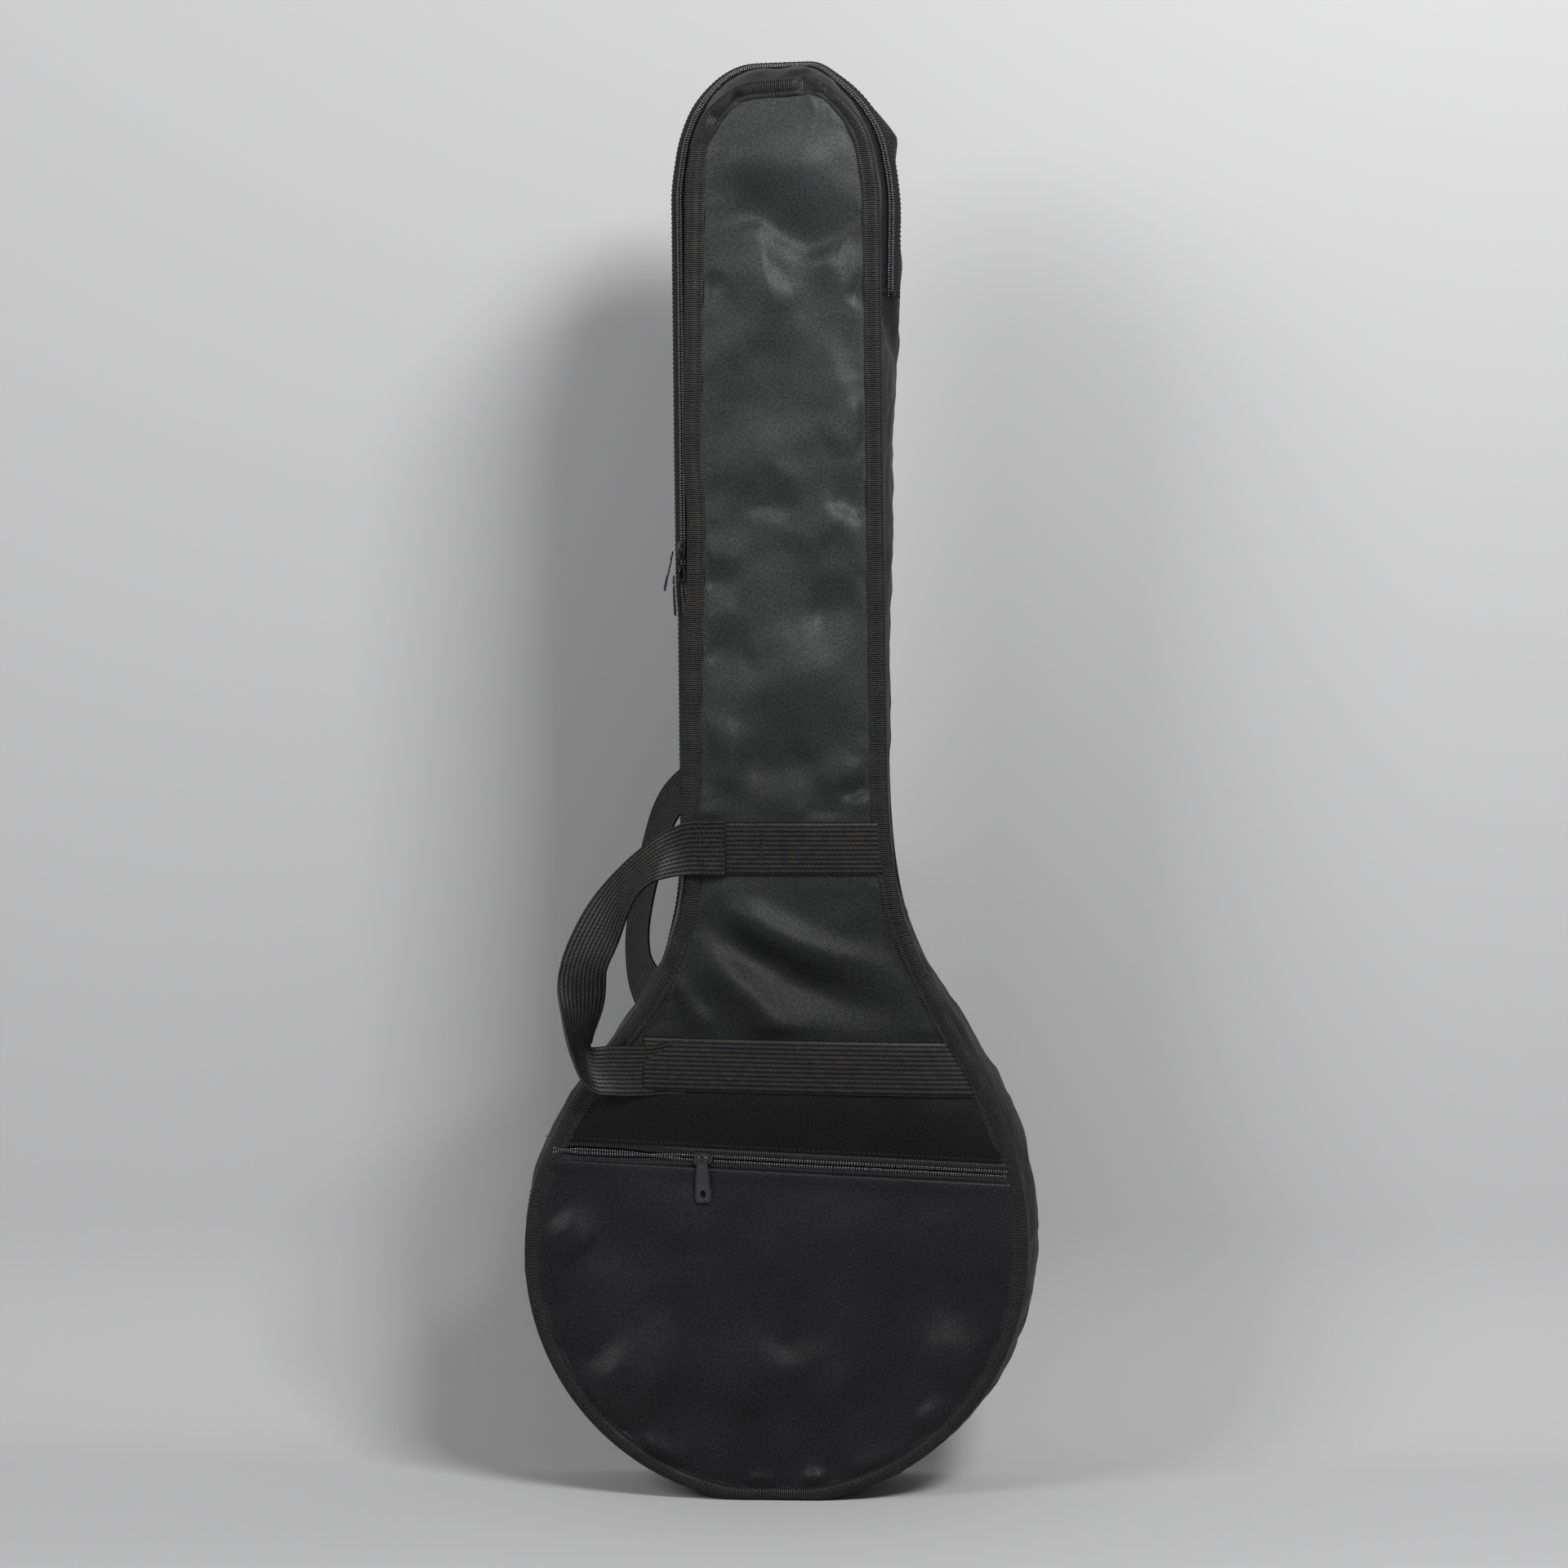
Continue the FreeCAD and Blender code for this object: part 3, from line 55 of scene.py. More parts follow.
# Outline of the bag in millimetres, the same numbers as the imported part
LEAN = math.radians(36)
FILLET = 175.0
NECK_FOOT_Z = 450.0
BAG_TOP = 1022.04
NECK_HEAD_Z = BAG_TOP - 67
EDGE = dict(x=-1.0, r=180.0, z=178.0, neck=(-66.0, 79.0), head=(-60.0, 72.0),
            top=(BAG_TOP - 10, BAG_TOP), corner=48.0)
CROWN = dict(x=1.0, r=186.0, z=181.0, neck=(-71.0, 78.0), head=(-76.0, 84.0),
             top=(BAG_TOP + 11, BAG_TOP + 16), corner=62.0)
CROWN_HALF = 15.0
FRONT_Y = -50.0
BACK_Y = 50.0
POCKET_LEAN = math.tan(math.radians(2.8))
POCKET_Z = 244.5
ZIP_RIGHT_Z = BAG_TOP - 154
ZIP_LEFT_Z = 110.0


def photo(px, py):
    """X and Z in millimetres of a pixel of the picture."""
    return (px - 951) / 1.71, (1834 - py) / 1.71


def crossing(p, way, q, other):
    gap = q - p
    turn = way[0] * other[1] - way[1] * other[0]
    return p + way * (gap[0] * other[1] - gap[1] * other[0]) / turn


def unit(v):
    return v / np.linalg.norm(v)


def unit_rows(v):
    return v / np.linalg.norm(v, axis=1)[:, None]


def at_depth(flat, y):
    """Points in space from X and Z pairs and their Y."""
    return np.stack([flat[..., 0], np.broadcast_to(y, flat.shape[:-1]), flat[..., 1]], -1)


def arc_points(centre, start, end, count):
    """Points of the shorter arc from start to end, the end left out."""
    a = math.atan2(*(start - centre)[::-1])
    b = math.atan2(*(end - centre)[::-1])
    turn = (b - a + math.pi) % (2 * math.pi) - math.pi
    angles = a + turn * np.arange(count) / count
    radius = np.linalg.norm(start - centre)
    return centre + radius * np.stack([np.cos(angles), np.sin(angles)], 1)


def line_points(start, end, count):
    share = np.arange(count)[:, None] / count
    return start + (end - start) * share


def round_corner(corner, way_in, way_out, radius):
    turn = math.acos(np.clip(np.dot(way_in, way_out), -1, 1))
    reach = radius * math.tan(turn / 2)
    across = unit(way_out - way_in)
    return corner - way_in * reach, corner + across * radius / math.cos(turn / 2), corner + way_out * reach


# Points in each run of the outline, the same for every inset
FOOT_RUN, POT_RUN, SHOULDER_RUN, FILLET_RUN, NECK_RUN, CORNER_RUN, TOP_RUN = 12, 120, 14, 30, 120, 26, 24


def side_points(kind, sign, inset):
    index = 1 if sign > 0 else 0
    radius = kind["r"] - inset
    centre = np.array([kind["x"], kind["z"]])
    foot_half = math.sqrt(radius ** 2 - (kind["z"] - inset) ** 2)
    foot = np.array([kind["x"] + sign * foot_half, inset])
    out = np.array([sign * math.cos(LEAN), math.sin(LEAN)])
    tangent = centre + out * radius
    shoulder_way = np.array([-sign * math.sin(LEAN), math.cos(LEAN)])
    low = np.array([kind["neck"][index], NECK_FOOT_Z])
    high = np.array([kind["head"][index], NECK_HEAD_Z])
    way = unit(high - low)
    outward = np.array([way[1], -way[0]]) * sign
    low, high = low - outward * inset, high - outward * inset
    top_l = np.array([kind["head"][0], kind["top"][0] - inset])
    top_r = np.array([kind["head"][1], kind["top"][1] - inset])
    top_way = unit(top_l - top_r) * sign
    shoulder = crossing(tangent, shoulder_way, low, way)
    temple = crossing(low, way, top_l, top_way)
    return (foot, centre, tangent,
            round_corner(shoulder, shoulder_way, way, FILLET + inset),
            round_corner(temple, way, top_way, kind["corner"] - inset))


def side_runs(foot, pot, tangent, fillet, corner):
    """The runs of one side from its foot up, each with the place where it ends."""
    return [(arc_points(pot, foot, tangent, POT_RUN), tangent),
            (line_points(tangent, fillet[0], SHOULDER_RUN), fillet[0]),
            (arc_points(fillet[1], fillet[0], fillet[2], FILLET_RUN), fillet[2]),
            (line_points(fillet[2], corner[0], NECK_RUN), corner[0]),
            (arc_points(corner[1], corner[0], corner[2], CORNER_RUN), corner[2])]


def outline(kind, inset=0.0):
    """Closed line of the bag's edge, from the foot's left end anticlockwise as seen from the front."""
    right, left = side_points(kind, 1, inset), side_points(kind, -1, inset)
    parts = [line_points(left[0], right[0], FOOT_RUN)]
    parts += [run for run, end in side_runs(*right)]
    parts += [line_points(right[-1][2], left[-1][2], TOP_RUN)]
    parts += [np.vstack([run[1:], end[None]])[::-1] for run, end in reversed(side_runs(*left))]
    return np.vstack(parts)


def lengths(points, closed=True):
    """Running length along a line of points."""
    after = np.roll(points, -1, 0) if closed else points[1:]
    steps = np.linalg.norm(after - (points if closed else points[:-1]), axis=1)
    return np.concatenate([[0], np.cumsum(steps)])


def outward_of(points):
    ahead = np.roll(points, -1, 0) - np.roll(points, 1, 0)
    return unit_rows(np.stack([ahead[:, 1], -ahead[:, 0]], 1))


EDGE_LINE = outline(EDGE)
EDGE_OUT = outward_of(EDGE_LINE)
EDGE_RUN = lengths(EDGE_LINE)
CROWN_LINE = outline(CROWN)
CROWN_OUT = outward_of(CROWN_LINE)
COUNT = len(EDGE_LINE)


# Soft noise and folds
def waves(x, z, scale, seed, octaves=3):
    """Smooth noise of about -1 to 1, with features about scale wide."""
    rng = np.random.default_rng(seed)
    total = np.zeros_like(x)
    size = 1.0
    for octave in range(octaves):
        wave = 2 * math.pi / (scale * 0.5 ** octave)
        part = np.zeros_like(x)
        for _ in range(5):
            angle, shift = rng.uniform(0, 2 * math.pi, 2)
            stretch = rng.uniform(0.6, 1.4)
            bend = 0.35 * np.sin(wave * 0.43 * (x * math.sin(angle) - z * math.cos(angle)) + 2 * shift)
            part += np.sin(wave * stretch * (x * math.cos(angle) + z * math.sin(angle)) + shift + 2 * bend)
        total += part / 3 * size
        size *= 0.45
    return total


def smooth(t):
    t = np.clip(t, 0, 1)
    return t * t * (3 - 2 * t)


def curve_of(points, count=40):
    """A smooth line through a few points."""
    p = np.array(points, float)
    p = np.vstack([2 * p[0] - p[1], p, 2 * p[-1] - p[-2]])
    out = []
    spans = len(p) - 3
    for t in np.linspace(0, spans - 1e-9, count):
        i = int(t)
        f = t - i
        a, b, c, d = p[i:i + 4]
        out.append(0.5 * (2 * b + (c - a) * f + (2 * a - 5 * b + 4 * c - d) * f ** 2
                          + (3 * b - a - 3 * c + d) * f ** 3))
    return np.array(out)


TAPER = 0.35


def stroke(x, z, points, height, wide, other):
    """A fold along a line: signed height, half-width on its left and on its right side."""
    line = curve_of([photo(*p) for p in points])
    best = np.full(x.shape, 1e9)
    side = np.zeros_like(x)
    along = np.zeros_like(x)
    count = len(line) - 1
    for i in range(count):
        a, b = line[i], line[i + 1]
        d = b - a
        t = np.clip(((x - a[0]) * d[0] + (z - a[1]) * d[1]) / (d @ d), 0, 1)
        dx, dz = x - a[0] - t * d[0], z - a[1] - t * d[1]
        dist = np.hypot(dx, dz)
        near = dist < best
        best = np.where(near, dist, best)
        side = np.where(near, d[0] * dz - d[1] * dx, side)
        along = np.where(near, (i + t) / count, along)
    width = np.where(side > 0, wide, other)
    ends = smooth(along / TAPER) * smooth((1 - along) / TAPER)
    return height * np.exp(-(best / width) ** 2) * ends


def nearest_edge(x, z):
    """Distance inside the bag's edge and the running length of the nearest place on it."""
    flat = np.stack([x.ravel(), z.ravel()], 1)
    dist = np.empty(len(flat))
    place = np.empty(len(flat))
    for start in range(0, len(flat), 4000):
        block = flat[start:start + 4000]
        gap = np.hypot(block[:, None, 0] - EDGE_LINE[None, :, 0], block[:, None, 1] - EDGE_LINE[None, :, 1])
        index = gap.argmin(1)
        dist[start:start + 4000] = gap[np.arange(len(block)), index]
        place[start:start + 4000] = EDGE_RUN[index]
    return dist.reshape(x.shape), place.reshape(x.shape)


def puckers(dist, place, seed, count=120, tall=1.3):
    """Small gathers that run into the cloth from its sewn edge."""
    rng = np.random.default_rng(seed)
    total = np.zeros_like(dist)
    for _ in range(count):
        at = rng.uniform(0, EDGE_RUN[-1])
        wide = rng.uniform(3, 9)
        deep = rng.uniform(7, 26)
        lean = rng.uniform(-0.9, 0.9)
        high = rng.uniform(-1, 1) * tall
        gap = place - at - lean * dist
        total += high * np.exp(-(gap / wide) ** 2) * np.exp(-((dist - 10) / deep) ** 2)
    return total


# Meshes
FLOOR_GAP = 0.8      # how far the lowest cloth stands above the floor, in millimetres
# Places where the binding is bunched up: x, z, how far it is pushed up and how far in
BUNCHES = ((*photo(901, 118), 2.0, 3.2, 4.5), (*photo(985, 99), 3.2, 3.6, 5.0),
           (*photo(1003, 102), -1.6, 2.4, 4.0), (*photo(1026, 106), 2.2, 3.0, 5.0),
           (*photo(872, 138), -1.2, 1.8, 4.0))



def settled(points):
    """The filled bag's sag: a fuller right shoulder, a rounder head, a zip drawn in below its sliders."""
    points = np.array(points, float)
    x, y, z = points.T
    spread = np.where(z > 350, 80.0, 92.0)
    shoulder = 20.0 * np.exp(-((z - 350) / spread) ** 2) * smooth((x - 15) / 60)
    head = 6.5 * smooth((z - 938) / 60) * smooth((-x - 15) / 50)
    head -= 14.5 * smooth((z - 930) / 100) * smooth((x - 12) / 50)
    depth = np.clip(np.abs(y) / 50, 0, 1)
    head -= 4.0 * depth ** 2 * smooth((-x - 38) / 16) * smooth((z - 700) / 60)
    low, high = smooth((662 - z) / 30), smooth((z - 430) / 70)
    head -= 2.5 * smooth((depth - 0.76) / 0.16) * smooth((-x - 48) / 12) * low * high
    tucked = 1.5 * low * high * smooth((-x - 52) / 10) * np.clip(1 - (y / 44) ** 2, 0, 1)
    near = smooth((-y - 42) / 4)
    for cx, cz, up, deep, wide in BUNCHES:
        share = np.exp(-((x - cx) ** 2 + (z - cz) ** 2) / wide ** 2) * near
        points[:, 2] += up * share
        points[:, 1] += deep * share
    points[:, 0] += shoulder + head + tucked
    points[:, 2] += 6.0 * smooth((z - 262) / 34) * smooth((540 - z) / 60) * smooth((depth - 0.36) / 0.4)
    points[:, 2] = np.maximum(points[:, 2], FLOOR_GAP)
    return points


def make_object(name, verts, faces, uvs=None, material=None, soft=True):
    """A mesh object in metres from points in millimetres. uvs holds one pair a corner, in metres."""
    mesh = bpy.data.meshes.new(name)
    points = settled(verts) if soft else np.asarray(verts)
    mesh.from_pydata((points * MM).tolist(), [], [list(f) for f in faces])
    if uvs is not None:
        layer = mesh.uv_layers.new(name="UVMap")
        layer.data.foreach_set("uv", (np.asarray(uvs, float) * MM).ravel())
    mesh.update()
    mesh.polygons.foreach_set("use_smooth", [True] * len(mesh.polygons))
    piece = bpy.data.objects.new(name, mesh)
    bpy.context.scene.collection.objects.link(piece)
    if material:
        mesh.materials.append(material)
    return piece


def grid_faces(rows, cols, wrap_rows=False, wrap_cols=False, flip=False):
    r = np.arange(rows if wrap_rows else rows - 1)
    c = np.arange(cols if wrap_cols else cols - 1)
    rr, cc = np.meshgrid(r, c, indexing="ij")
    r2, c2 = (rr + 1) % rows, (cc + 1) % cols
    quads = np.stack([rr * cols + cc, rr * cols + c2, r2 * cols + c2, r2 * cols + cc], -1).reshape(-1, 4)
    if flip:
        quads = quads[:, ::-1]
    step = np.stack([np.stack([rr, cc], -1), np.stack([rr, cc + 1], -1),
                     np.stack([rr + 1, cc + 1], -1), np.stack([rr + 1, cc], -1)], 2).reshape(-1, 4, 2)
    if flip:
        step = step[:, ::-1]
    return quads, step


def grid_object(name, points, u, v, material, wrap_rows=False, wrap_cols=False, flip=False):
    """A mesh from a grid of points: u runs down the rows, v along the columns."""
    rows, cols = points.shape[:2]
    quads, step = grid_faces(rows, cols, wrap_rows, wrap_cols, flip)
    uvs = np.stack([np.asarray(u)[step[..., 0]], np.asarray(v)[step[..., 1]]], -1)
    return make_object(name, points.reshape(-1, 3), quads, uvs.reshape(-1, 2), material)


def row_ends(line, shear=0.0):
    """Left and right X of a closed line at a height, with heights measured square to a slant."""
    z = line[:, 1] + line[:, 0] * shear
    low, high = int(z.argmin()), int(z.argmax())
    order = np.arange(len(line))
    right = np.roll(order, -low)[: (high - low) % len(line) + 1]
    left = np.roll(order, -low)[(high - low) % len(line):]
    left = np.concatenate([left, [low]])[::-1]
    zr = np.maximum.accumulate(z[right] + np.arange(len(right)) * 1e-7)
    zl = np.maximum.accumulate(z[left] + np.arange(len(left)) * 1e-7)
    return (lambda h: np.interp(h, zl, line[left, 0]), lambda h: np.interp(h, zr, line[right, 0]),
            float(z.min()), float(z.max()))


def cloth_panel(name, depth, inset, low, high, material, shear=0.0, cols=84, step=3.4, behind=False):
    """Cloth that fills the outline between two heights; depth gives Y for X and Z."""
    left, right, z_min, z_max = row_ends(outline(EDGE, inset), shear)
    low, high = max(low, z_min + 0.05), min(high, z_max - 0.05)
    rows = [low]
    while rows[-1] < high:
        h = rows[-1]
        change = max(abs(left(h + 0.5) - left(h)), abs(right(h + 0.5) - right(h))) * 2
        rows.append(h + step / max(1.0, change / 1.5))
    rows[-1] = high
    h = np.array(rows)
    share = np.linspace(0, 1, cols)
    share = share - 0.035 * np.sin(2 * math.pi * share)
    x = left(h)[:, None] + (right(h) - left(h))[:, None] * share[None]
    z = h[:, None] - x * shear
    points = np.stack([x, depth(x, z), z], -1)
    quads, _ = grid_faces(len(h), cols, flip=behind)
    flat = points.reshape(-1, 3)
    uvs = flat[quads][..., [0, 2]]
    return make_object(name, flat, quads, uvs.reshape(-1, 2), material)


def thicken(piece, amount, offset=-1.0):
    """Gives a sheet its thickness as real faces."""
    modifier = piece.modifiers.new("thickness", "SOLIDIFY")
    modifier.thickness = amount * MM
    modifier.offset = offset
    modifier.use_even_offset = False


def copies(name, base_verts, base_faces, frames, material):
    """One mesh of many small like pieces. frames holds 3x4 matrices in millimetres."""
    base = np.asarray(base_verts, float)
    frames = np.asarray(frames, float)
    verts = np.einsum("nij,vj->nvi", frames[:, :, :3], base) + frames[:, None, :, 3]
    count = len(base)
    faces = []
    for index in range(len(frames)):
        faces += [[i + index * count for i in face] for face in base_faces]
    return make_object(name, verts.reshape(-1, 3), faces, None, material)


def capsule(length, radius, height, sides, rings):
    """A rounded bar along X, flattened to a height in Z, closed at both ends."""
    verts, faces = [], []
    for ring in range(rings):
        t = ring / (rings - 1)
        x = (t - 0.5) * length
        swell = math.sqrt(max(0.0, 1 - (2 * t - 1) ** 4)) * 0.85 + 0.15
        for side in range(sides):
            a = 2 * math.pi * side / sides
            verts.append((x, math.cos(a) * radius * swell, math.sin(a) * height * swell))
    for ring in range(rings - 1):
        for side in range(sides):
            nxt = (side + 1) % sides
            faces.append([ring * sides + side, ring * sides + nxt,
                          (ring + 1) * sides + nxt, (ring + 1) * sides + side])
    faces.append(list(range(sides))[::-1])
    faces.append(list(range((rings - 1) * sides, rings * sides)))
    return verts, faces


# Materials
class Paint:
    """A node material built up step by step."""

    def __init__(self, name, rough, color=(0.5, 0.5, 0.5), **settings):
        self.material = bpy.data.materials.new(name)
        self.material.use_nodes = True
        self.tree = self.material.node_tree
        self.shader = self.tree.nodes["Principled BSDF"]
        self.set("Roughness", rough)
        self.set("Base Color", (*color, 1))
        for key, number in settings.items():
            self.set(key.replace("_", " "), number)

    def set(self, socket, number):
        self.shader.inputs[socket].default_value = number

    def node(self, kind, **settings):
        node = self.tree.nodes.new(kind)
        for key, number in settings.items():
            setattr(node, key, number)
        return node

    def link(self, source, target):
        self.tree.links.new(source, target)

    def math(self, operation, a, b=None, c=None):
        node = self.node("ShaderNodeMath", operation=operation)
        for socket, item in zip(node.inputs, (a, b, c)):
            if item is None:
                continue
            if isinstance(item, (int, float)):
                socket.default_value = item
            else:
                self.link(item, socket)
        return node.outputs[0]

    def split(self, vector):
        node = self.node("ShaderNodeSeparateXYZ")
        self.link(vector, node.inputs[0])
        return node.outputs

    def uv(self):
        return self.node("ShaderNodeUVMap", uv_map="UVMap").outputs[0]

    def place(self):
        return self.node("ShaderNodeTexCoord").outputs["Object"]

    def noise(self, vector, scale, detail=2.0, rough=0.5):
        node = self.node("ShaderNodeTexNoise")
        self.link(vector, node.inputs["Vector"])
        node.inputs["Scale"].default_value = scale
        node.inputs["Detail"].default_value = detail
        node.inputs["Roughness"].default_value = rough
        return node.outputs[0]

    def blend(self, share, first, second):
        node = self.node("ShaderNodeMix", data_type="RGBA")
        self.link(share, node.inputs[0])
        for socket, item in ((node.inputs[6], first), (node.inputs[7], second)):
            if isinstance(item, tuple):
                socket.default_value = (*item, 1)
            else:
                self.link(item, socket)
        return node.outputs[2]

    def bump(self, height, distance, strength=1.0, over=None):
        node = self.node("ShaderNodeBump")
        node.inputs["Distance"].default_value = distance
        node.inputs["Strength"].default_value = strength
        self.link(height, node.inputs["Height"])
        if over is not None:
            self.link(over, node.inputs["Normal"])
        return node.outputs[0]

    def wave(self, value, pitch):
        """A smooth wave of 0 to 1 with a pitch in metres."""
        turn = self.math("MULTIPLY", value, 2 * math.pi / pitch)
        return self.math("MULTIPLY_ADD", self.math("SINE", turn), 0.5, 0.5)

    def finish(self, color=None, normal=None, rough=None):
        for socket, item in (("Base Color", color), ("Normal", normal), ("Roughness", rough)):
            if item is not None:
                self.link(item, self.shader.inputs[socket])
        return self.material


# Pitch of the cloth's diagonal lines and of its bands, in metres
CLOTH_PITCH = 0.0021
BAND_PITCH = 0.026


def cloth_material(name, dark, light, rough=0.6, shine=0.55, shade_below=False):
    """Nylon in a herringbone weave: diagonal lines that turn over from band to band, and when asked, painted shade
    that darkens it towards the bottom.
    """
    p = Paint(name, rough)
    u, v, _ = p.split(p.uv())
    wander = p.math("MULTIPLY", p.noise(p.uv(), 7.0, 1.0), 0.03)
    falling = p.wave(p.math("ADD", u, v), CLOTH_PITCH)
    rising = p.wave(p.math("SUBTRACT", u, v), CLOTH_PITCH)
    bands = p.math("MULTIPLY_ADD", p.wave(p.math("ADD", u, wander), BAND_PITCH), 3.0, -1.0)
    bands = p.math("MAXIMUM", p.math("SMOOTH_MIN", bands, 1.0, 0.3), 0.0)
    lines = p.math("ADD", p.math("MULTIPLY", falling, bands),
                   p.math("MULTIPLY", rising, p.math("SUBTRACT", 1.0, bands)))
    threads = p.noise(p.uv(), 520.0, 1.0)
    weave = p.math("MULTIPLY", p.math("MULTIPLY_ADD", lines, 0.7, 0.3), p.math("MULTIPLY_ADD", threads, 1.1, 0.3))
    patches = p.noise(p.place(), 16.0, 3.0)
    lit = p.math("MULTIPLY", weave, p.math("MULTIPLY_ADD", patches, 0.8, 0.55))
    # Painted shade: the colour and the shine grow darker towards the bottom, where less of the top lamp's light
    # falls.
    if shade_below:
        height = p.split(p.place())[2]
        height_shade = p.math("MINIMUM", p.math("MULTIPLY_ADD", height, 2.0, -0.26), 1.0)
        lit = p.math("MULTIPLY", lit, p.math("MAXIMUM", height_shade, 0.2))
    # The weave's lines follow the real twill; their light thread tops and dark gaps in the colour are painted
    # light and shade, on top of the bump.
    color = p.blend(lit, dark, light)
    p.link(p.math("MULTIPLY_ADD", lit, shine * 1.9, shine * 0.12), p.shader.inputs["Specular IOR Level"])
    normal = p.bump(weave, 0.00004, 0.8)
    soft = p.bump(p.noise(p.place(), 38.0, 3.0), 0.0006, 0.5, normal)
    uneven = p.math("MULTIPLY_ADD", lines, -0.12, rough + 0.05)
    return p.finish(color, soft, uneven)


RIB_ROUGH = 0.55


def ribbed_material(name, dark, light, pitch, rows=None, tint=None):
    """Tape or webbing: ribs across its length, and rows along it."""
    p = Paint(name, RIB_ROUGH)
    u, v, _ = p.split(p.uv())
    ribs = p.wave(p.math("ADD", u, p.math("MULTIPLY", p.noise(p.uv(), 160.0), 0.0016)), pitch)
    height = ribs
    if rows:
        across = p.wave(v, rows)
        checks = p.wave(p.math("ADD", p.math("MULTIPLY", v, pitch / rows), u), pitch * 2)
        height = p.math("ADD", p.math("MULTIPLY", ribs, 0.25),
                        p.math("ADD", p.math("MULTIPLY", across, 0.65), p.math("MULTIPLY", checks, 0.15)))
    fuzz = p.noise(p.uv(), 700.0, 1.0)
    lit = p.math("MULTIPLY", height, p.math("MULTIPLY_ADD", fuzz, 1.3, 0.3))
    if tint:
        light = p.blend(p.math("MULTIPLY_ADD", p.noise(p.uv(), 130.0, 1.0), 3.0, -1.0), light, tint)
    # The ribs and rows follow the real weave; their light tops and dark grooves in the colour are painted light
    # and shade, on top of the bump.
    color = p.blend(lit, dark, light)
    p.link(p.math("MULTIPLY_ADD", lit, 0.5, 0.04), p.shader.inputs["Specular IOR Level"])
    return p.finish(color, p.bump(height, 0.00007, 0.8), p.math("MULTIPLY_ADD", height, -0.15, RIB_ROUGH + 0.1))


def plain_material(name, color, rough, bump=0.00003, scale=700.0, vary=0.25, **settings):
    """Moulded, lacquered or plated: a fine uneven surface with light wear."""
    p = Paint(name, rough, color, **settings)
    speck = p.noise(p.place(), scale, 3.0)
    cloudy = p.noise(p.place(), scale / 12, 3.0)
    dark = tuple(c * (1 - vary) for c in color)
    light = tuple(min(1, c * (1 + vary)) for c in color)
    tone = p.blend(cloudy, dark, light)
    uneven = p.math("MULTIPLY_ADD", speck, 0.18, rough - 0.08)
    return p.finish(tone, p.bump(speck, bump, 0.5), uneven)


def wood_material(name, dark, light, rough=0.4):
    p = Paint(name, rough)
    x, y, z = p.split(p.place())
    joined = p.node("ShaderNodeCombineXYZ")
    for socket, item, share in zip(joined.inputs, (x, y, z), (60.0, 60.0, 6.0)):
        p.link(p.math("MULTIPLY", item, share), socket)
    grain = p.noise(joined.outputs[0], 3.0, 4.0, 0.6)
    fine = p.noise(joined.outputs[0], 18.0, 2.0)
    tone = p.blend(p.math("ADD", p.math("MULTIPLY", grain, 0.8), p.math("MULTIPLY", fine, 0.2)), dark, light)
    return p.finish(tone, p.bump(fine, 0.0001, 0.3))


cloth = cloth_material("bag_weave", (0.0006, 0.0006, 0.0007), (0.024, 0.0257, 0.0268), shine=0.46, shade_below=True)
# The pocket and the side walls are the bag's own cloth; their darker, duller copies are painted shade, for the low
# pocket and the walls that face sideways.
pocket_cloth_shaded = cloth_material("pocket_weave", (0.0006, 0.0006, 0.0008), (0.010, 0.010, 0.0125),
                              rough=0.52, shine=0.26)
gusset_cloth_shaded = cloth_material("gusset_weave", (0.0006, 0.0006, 0.0007), (0.010, 0.0106, 0.0110),
                              rough=0.54, shine=0.19)
tape = ribbed_material("binding_ribs", (0.0008, 0.0008, 0.0008), (0.030, 0.027, 0.0225), 0.0015,
                       tint=(0.015, 0.017, 0.021))
zip_tape = ribbed_material("zip_tape_weave", (0.0006, 0.0006, 0.0007), (0.020, 0.020, 0.023), 0.0013)
webbing = ribbed_material("webbing_weave", (0.0008, 0.0008, 0.0008), (0.029, 0.0255, 0.021), 0.0015,
                          rows=0.0033, tint=(0.0105, 0.012, 0.017))
thread = plain_material("thread", (0.006, 0.006, 0.006), 0.5)
coil = plain_material("coil_plastic", (0.010, 0.010, 0.011), 0.2, Specular_IOR_Level=1.0, Coat_Weight=1.0,
                      Coat_Roughness=0.12)
lacquer = plain_material("black_lacquer", (0.012, 0.012, 0.012), 0.3, Coat_Weight=0.3)
gunmetal = plain_material("dark_gunmetal", (0.085, 0.085, 0.092), 0.24, Metallic=0.8)

maple = wood_material("maple_wood", (0.42, 0.24, 0.10), (0.66, 0.45, 0.24))
dark_wood = wood_material("dark_wood", (0.018, 0.011, 0.008), (0.055, 0.034, 0.022), 0.45)
brass = plain_material("brass_metal", (0.62, 0.44, 0.16), 0.3, Metallic=0.95)
film = plain_material("drum_film", (0.78, 0.77, 0.72), 0.5, bump=0.00008, vary=0.05)
nickel = plain_material("nickel_plate", (0.60, 0.59, 0.57), 0.24, Metallic=0.95, vary=0.12)
pearl = plain_material("pearl_button", (0.80, 0.79, 0.74), 0.25, scale=260.0, vary=0.12, Coat_Weight=0.4)
bone = plain_material("bone_nut", (0.74, 0.70, 0.58), 0.45, vary=0.1)
steel = plain_material("string_steel", (0.55, 0.55, 0.56), 0.25, Metallic=0.95, vary=0.1)

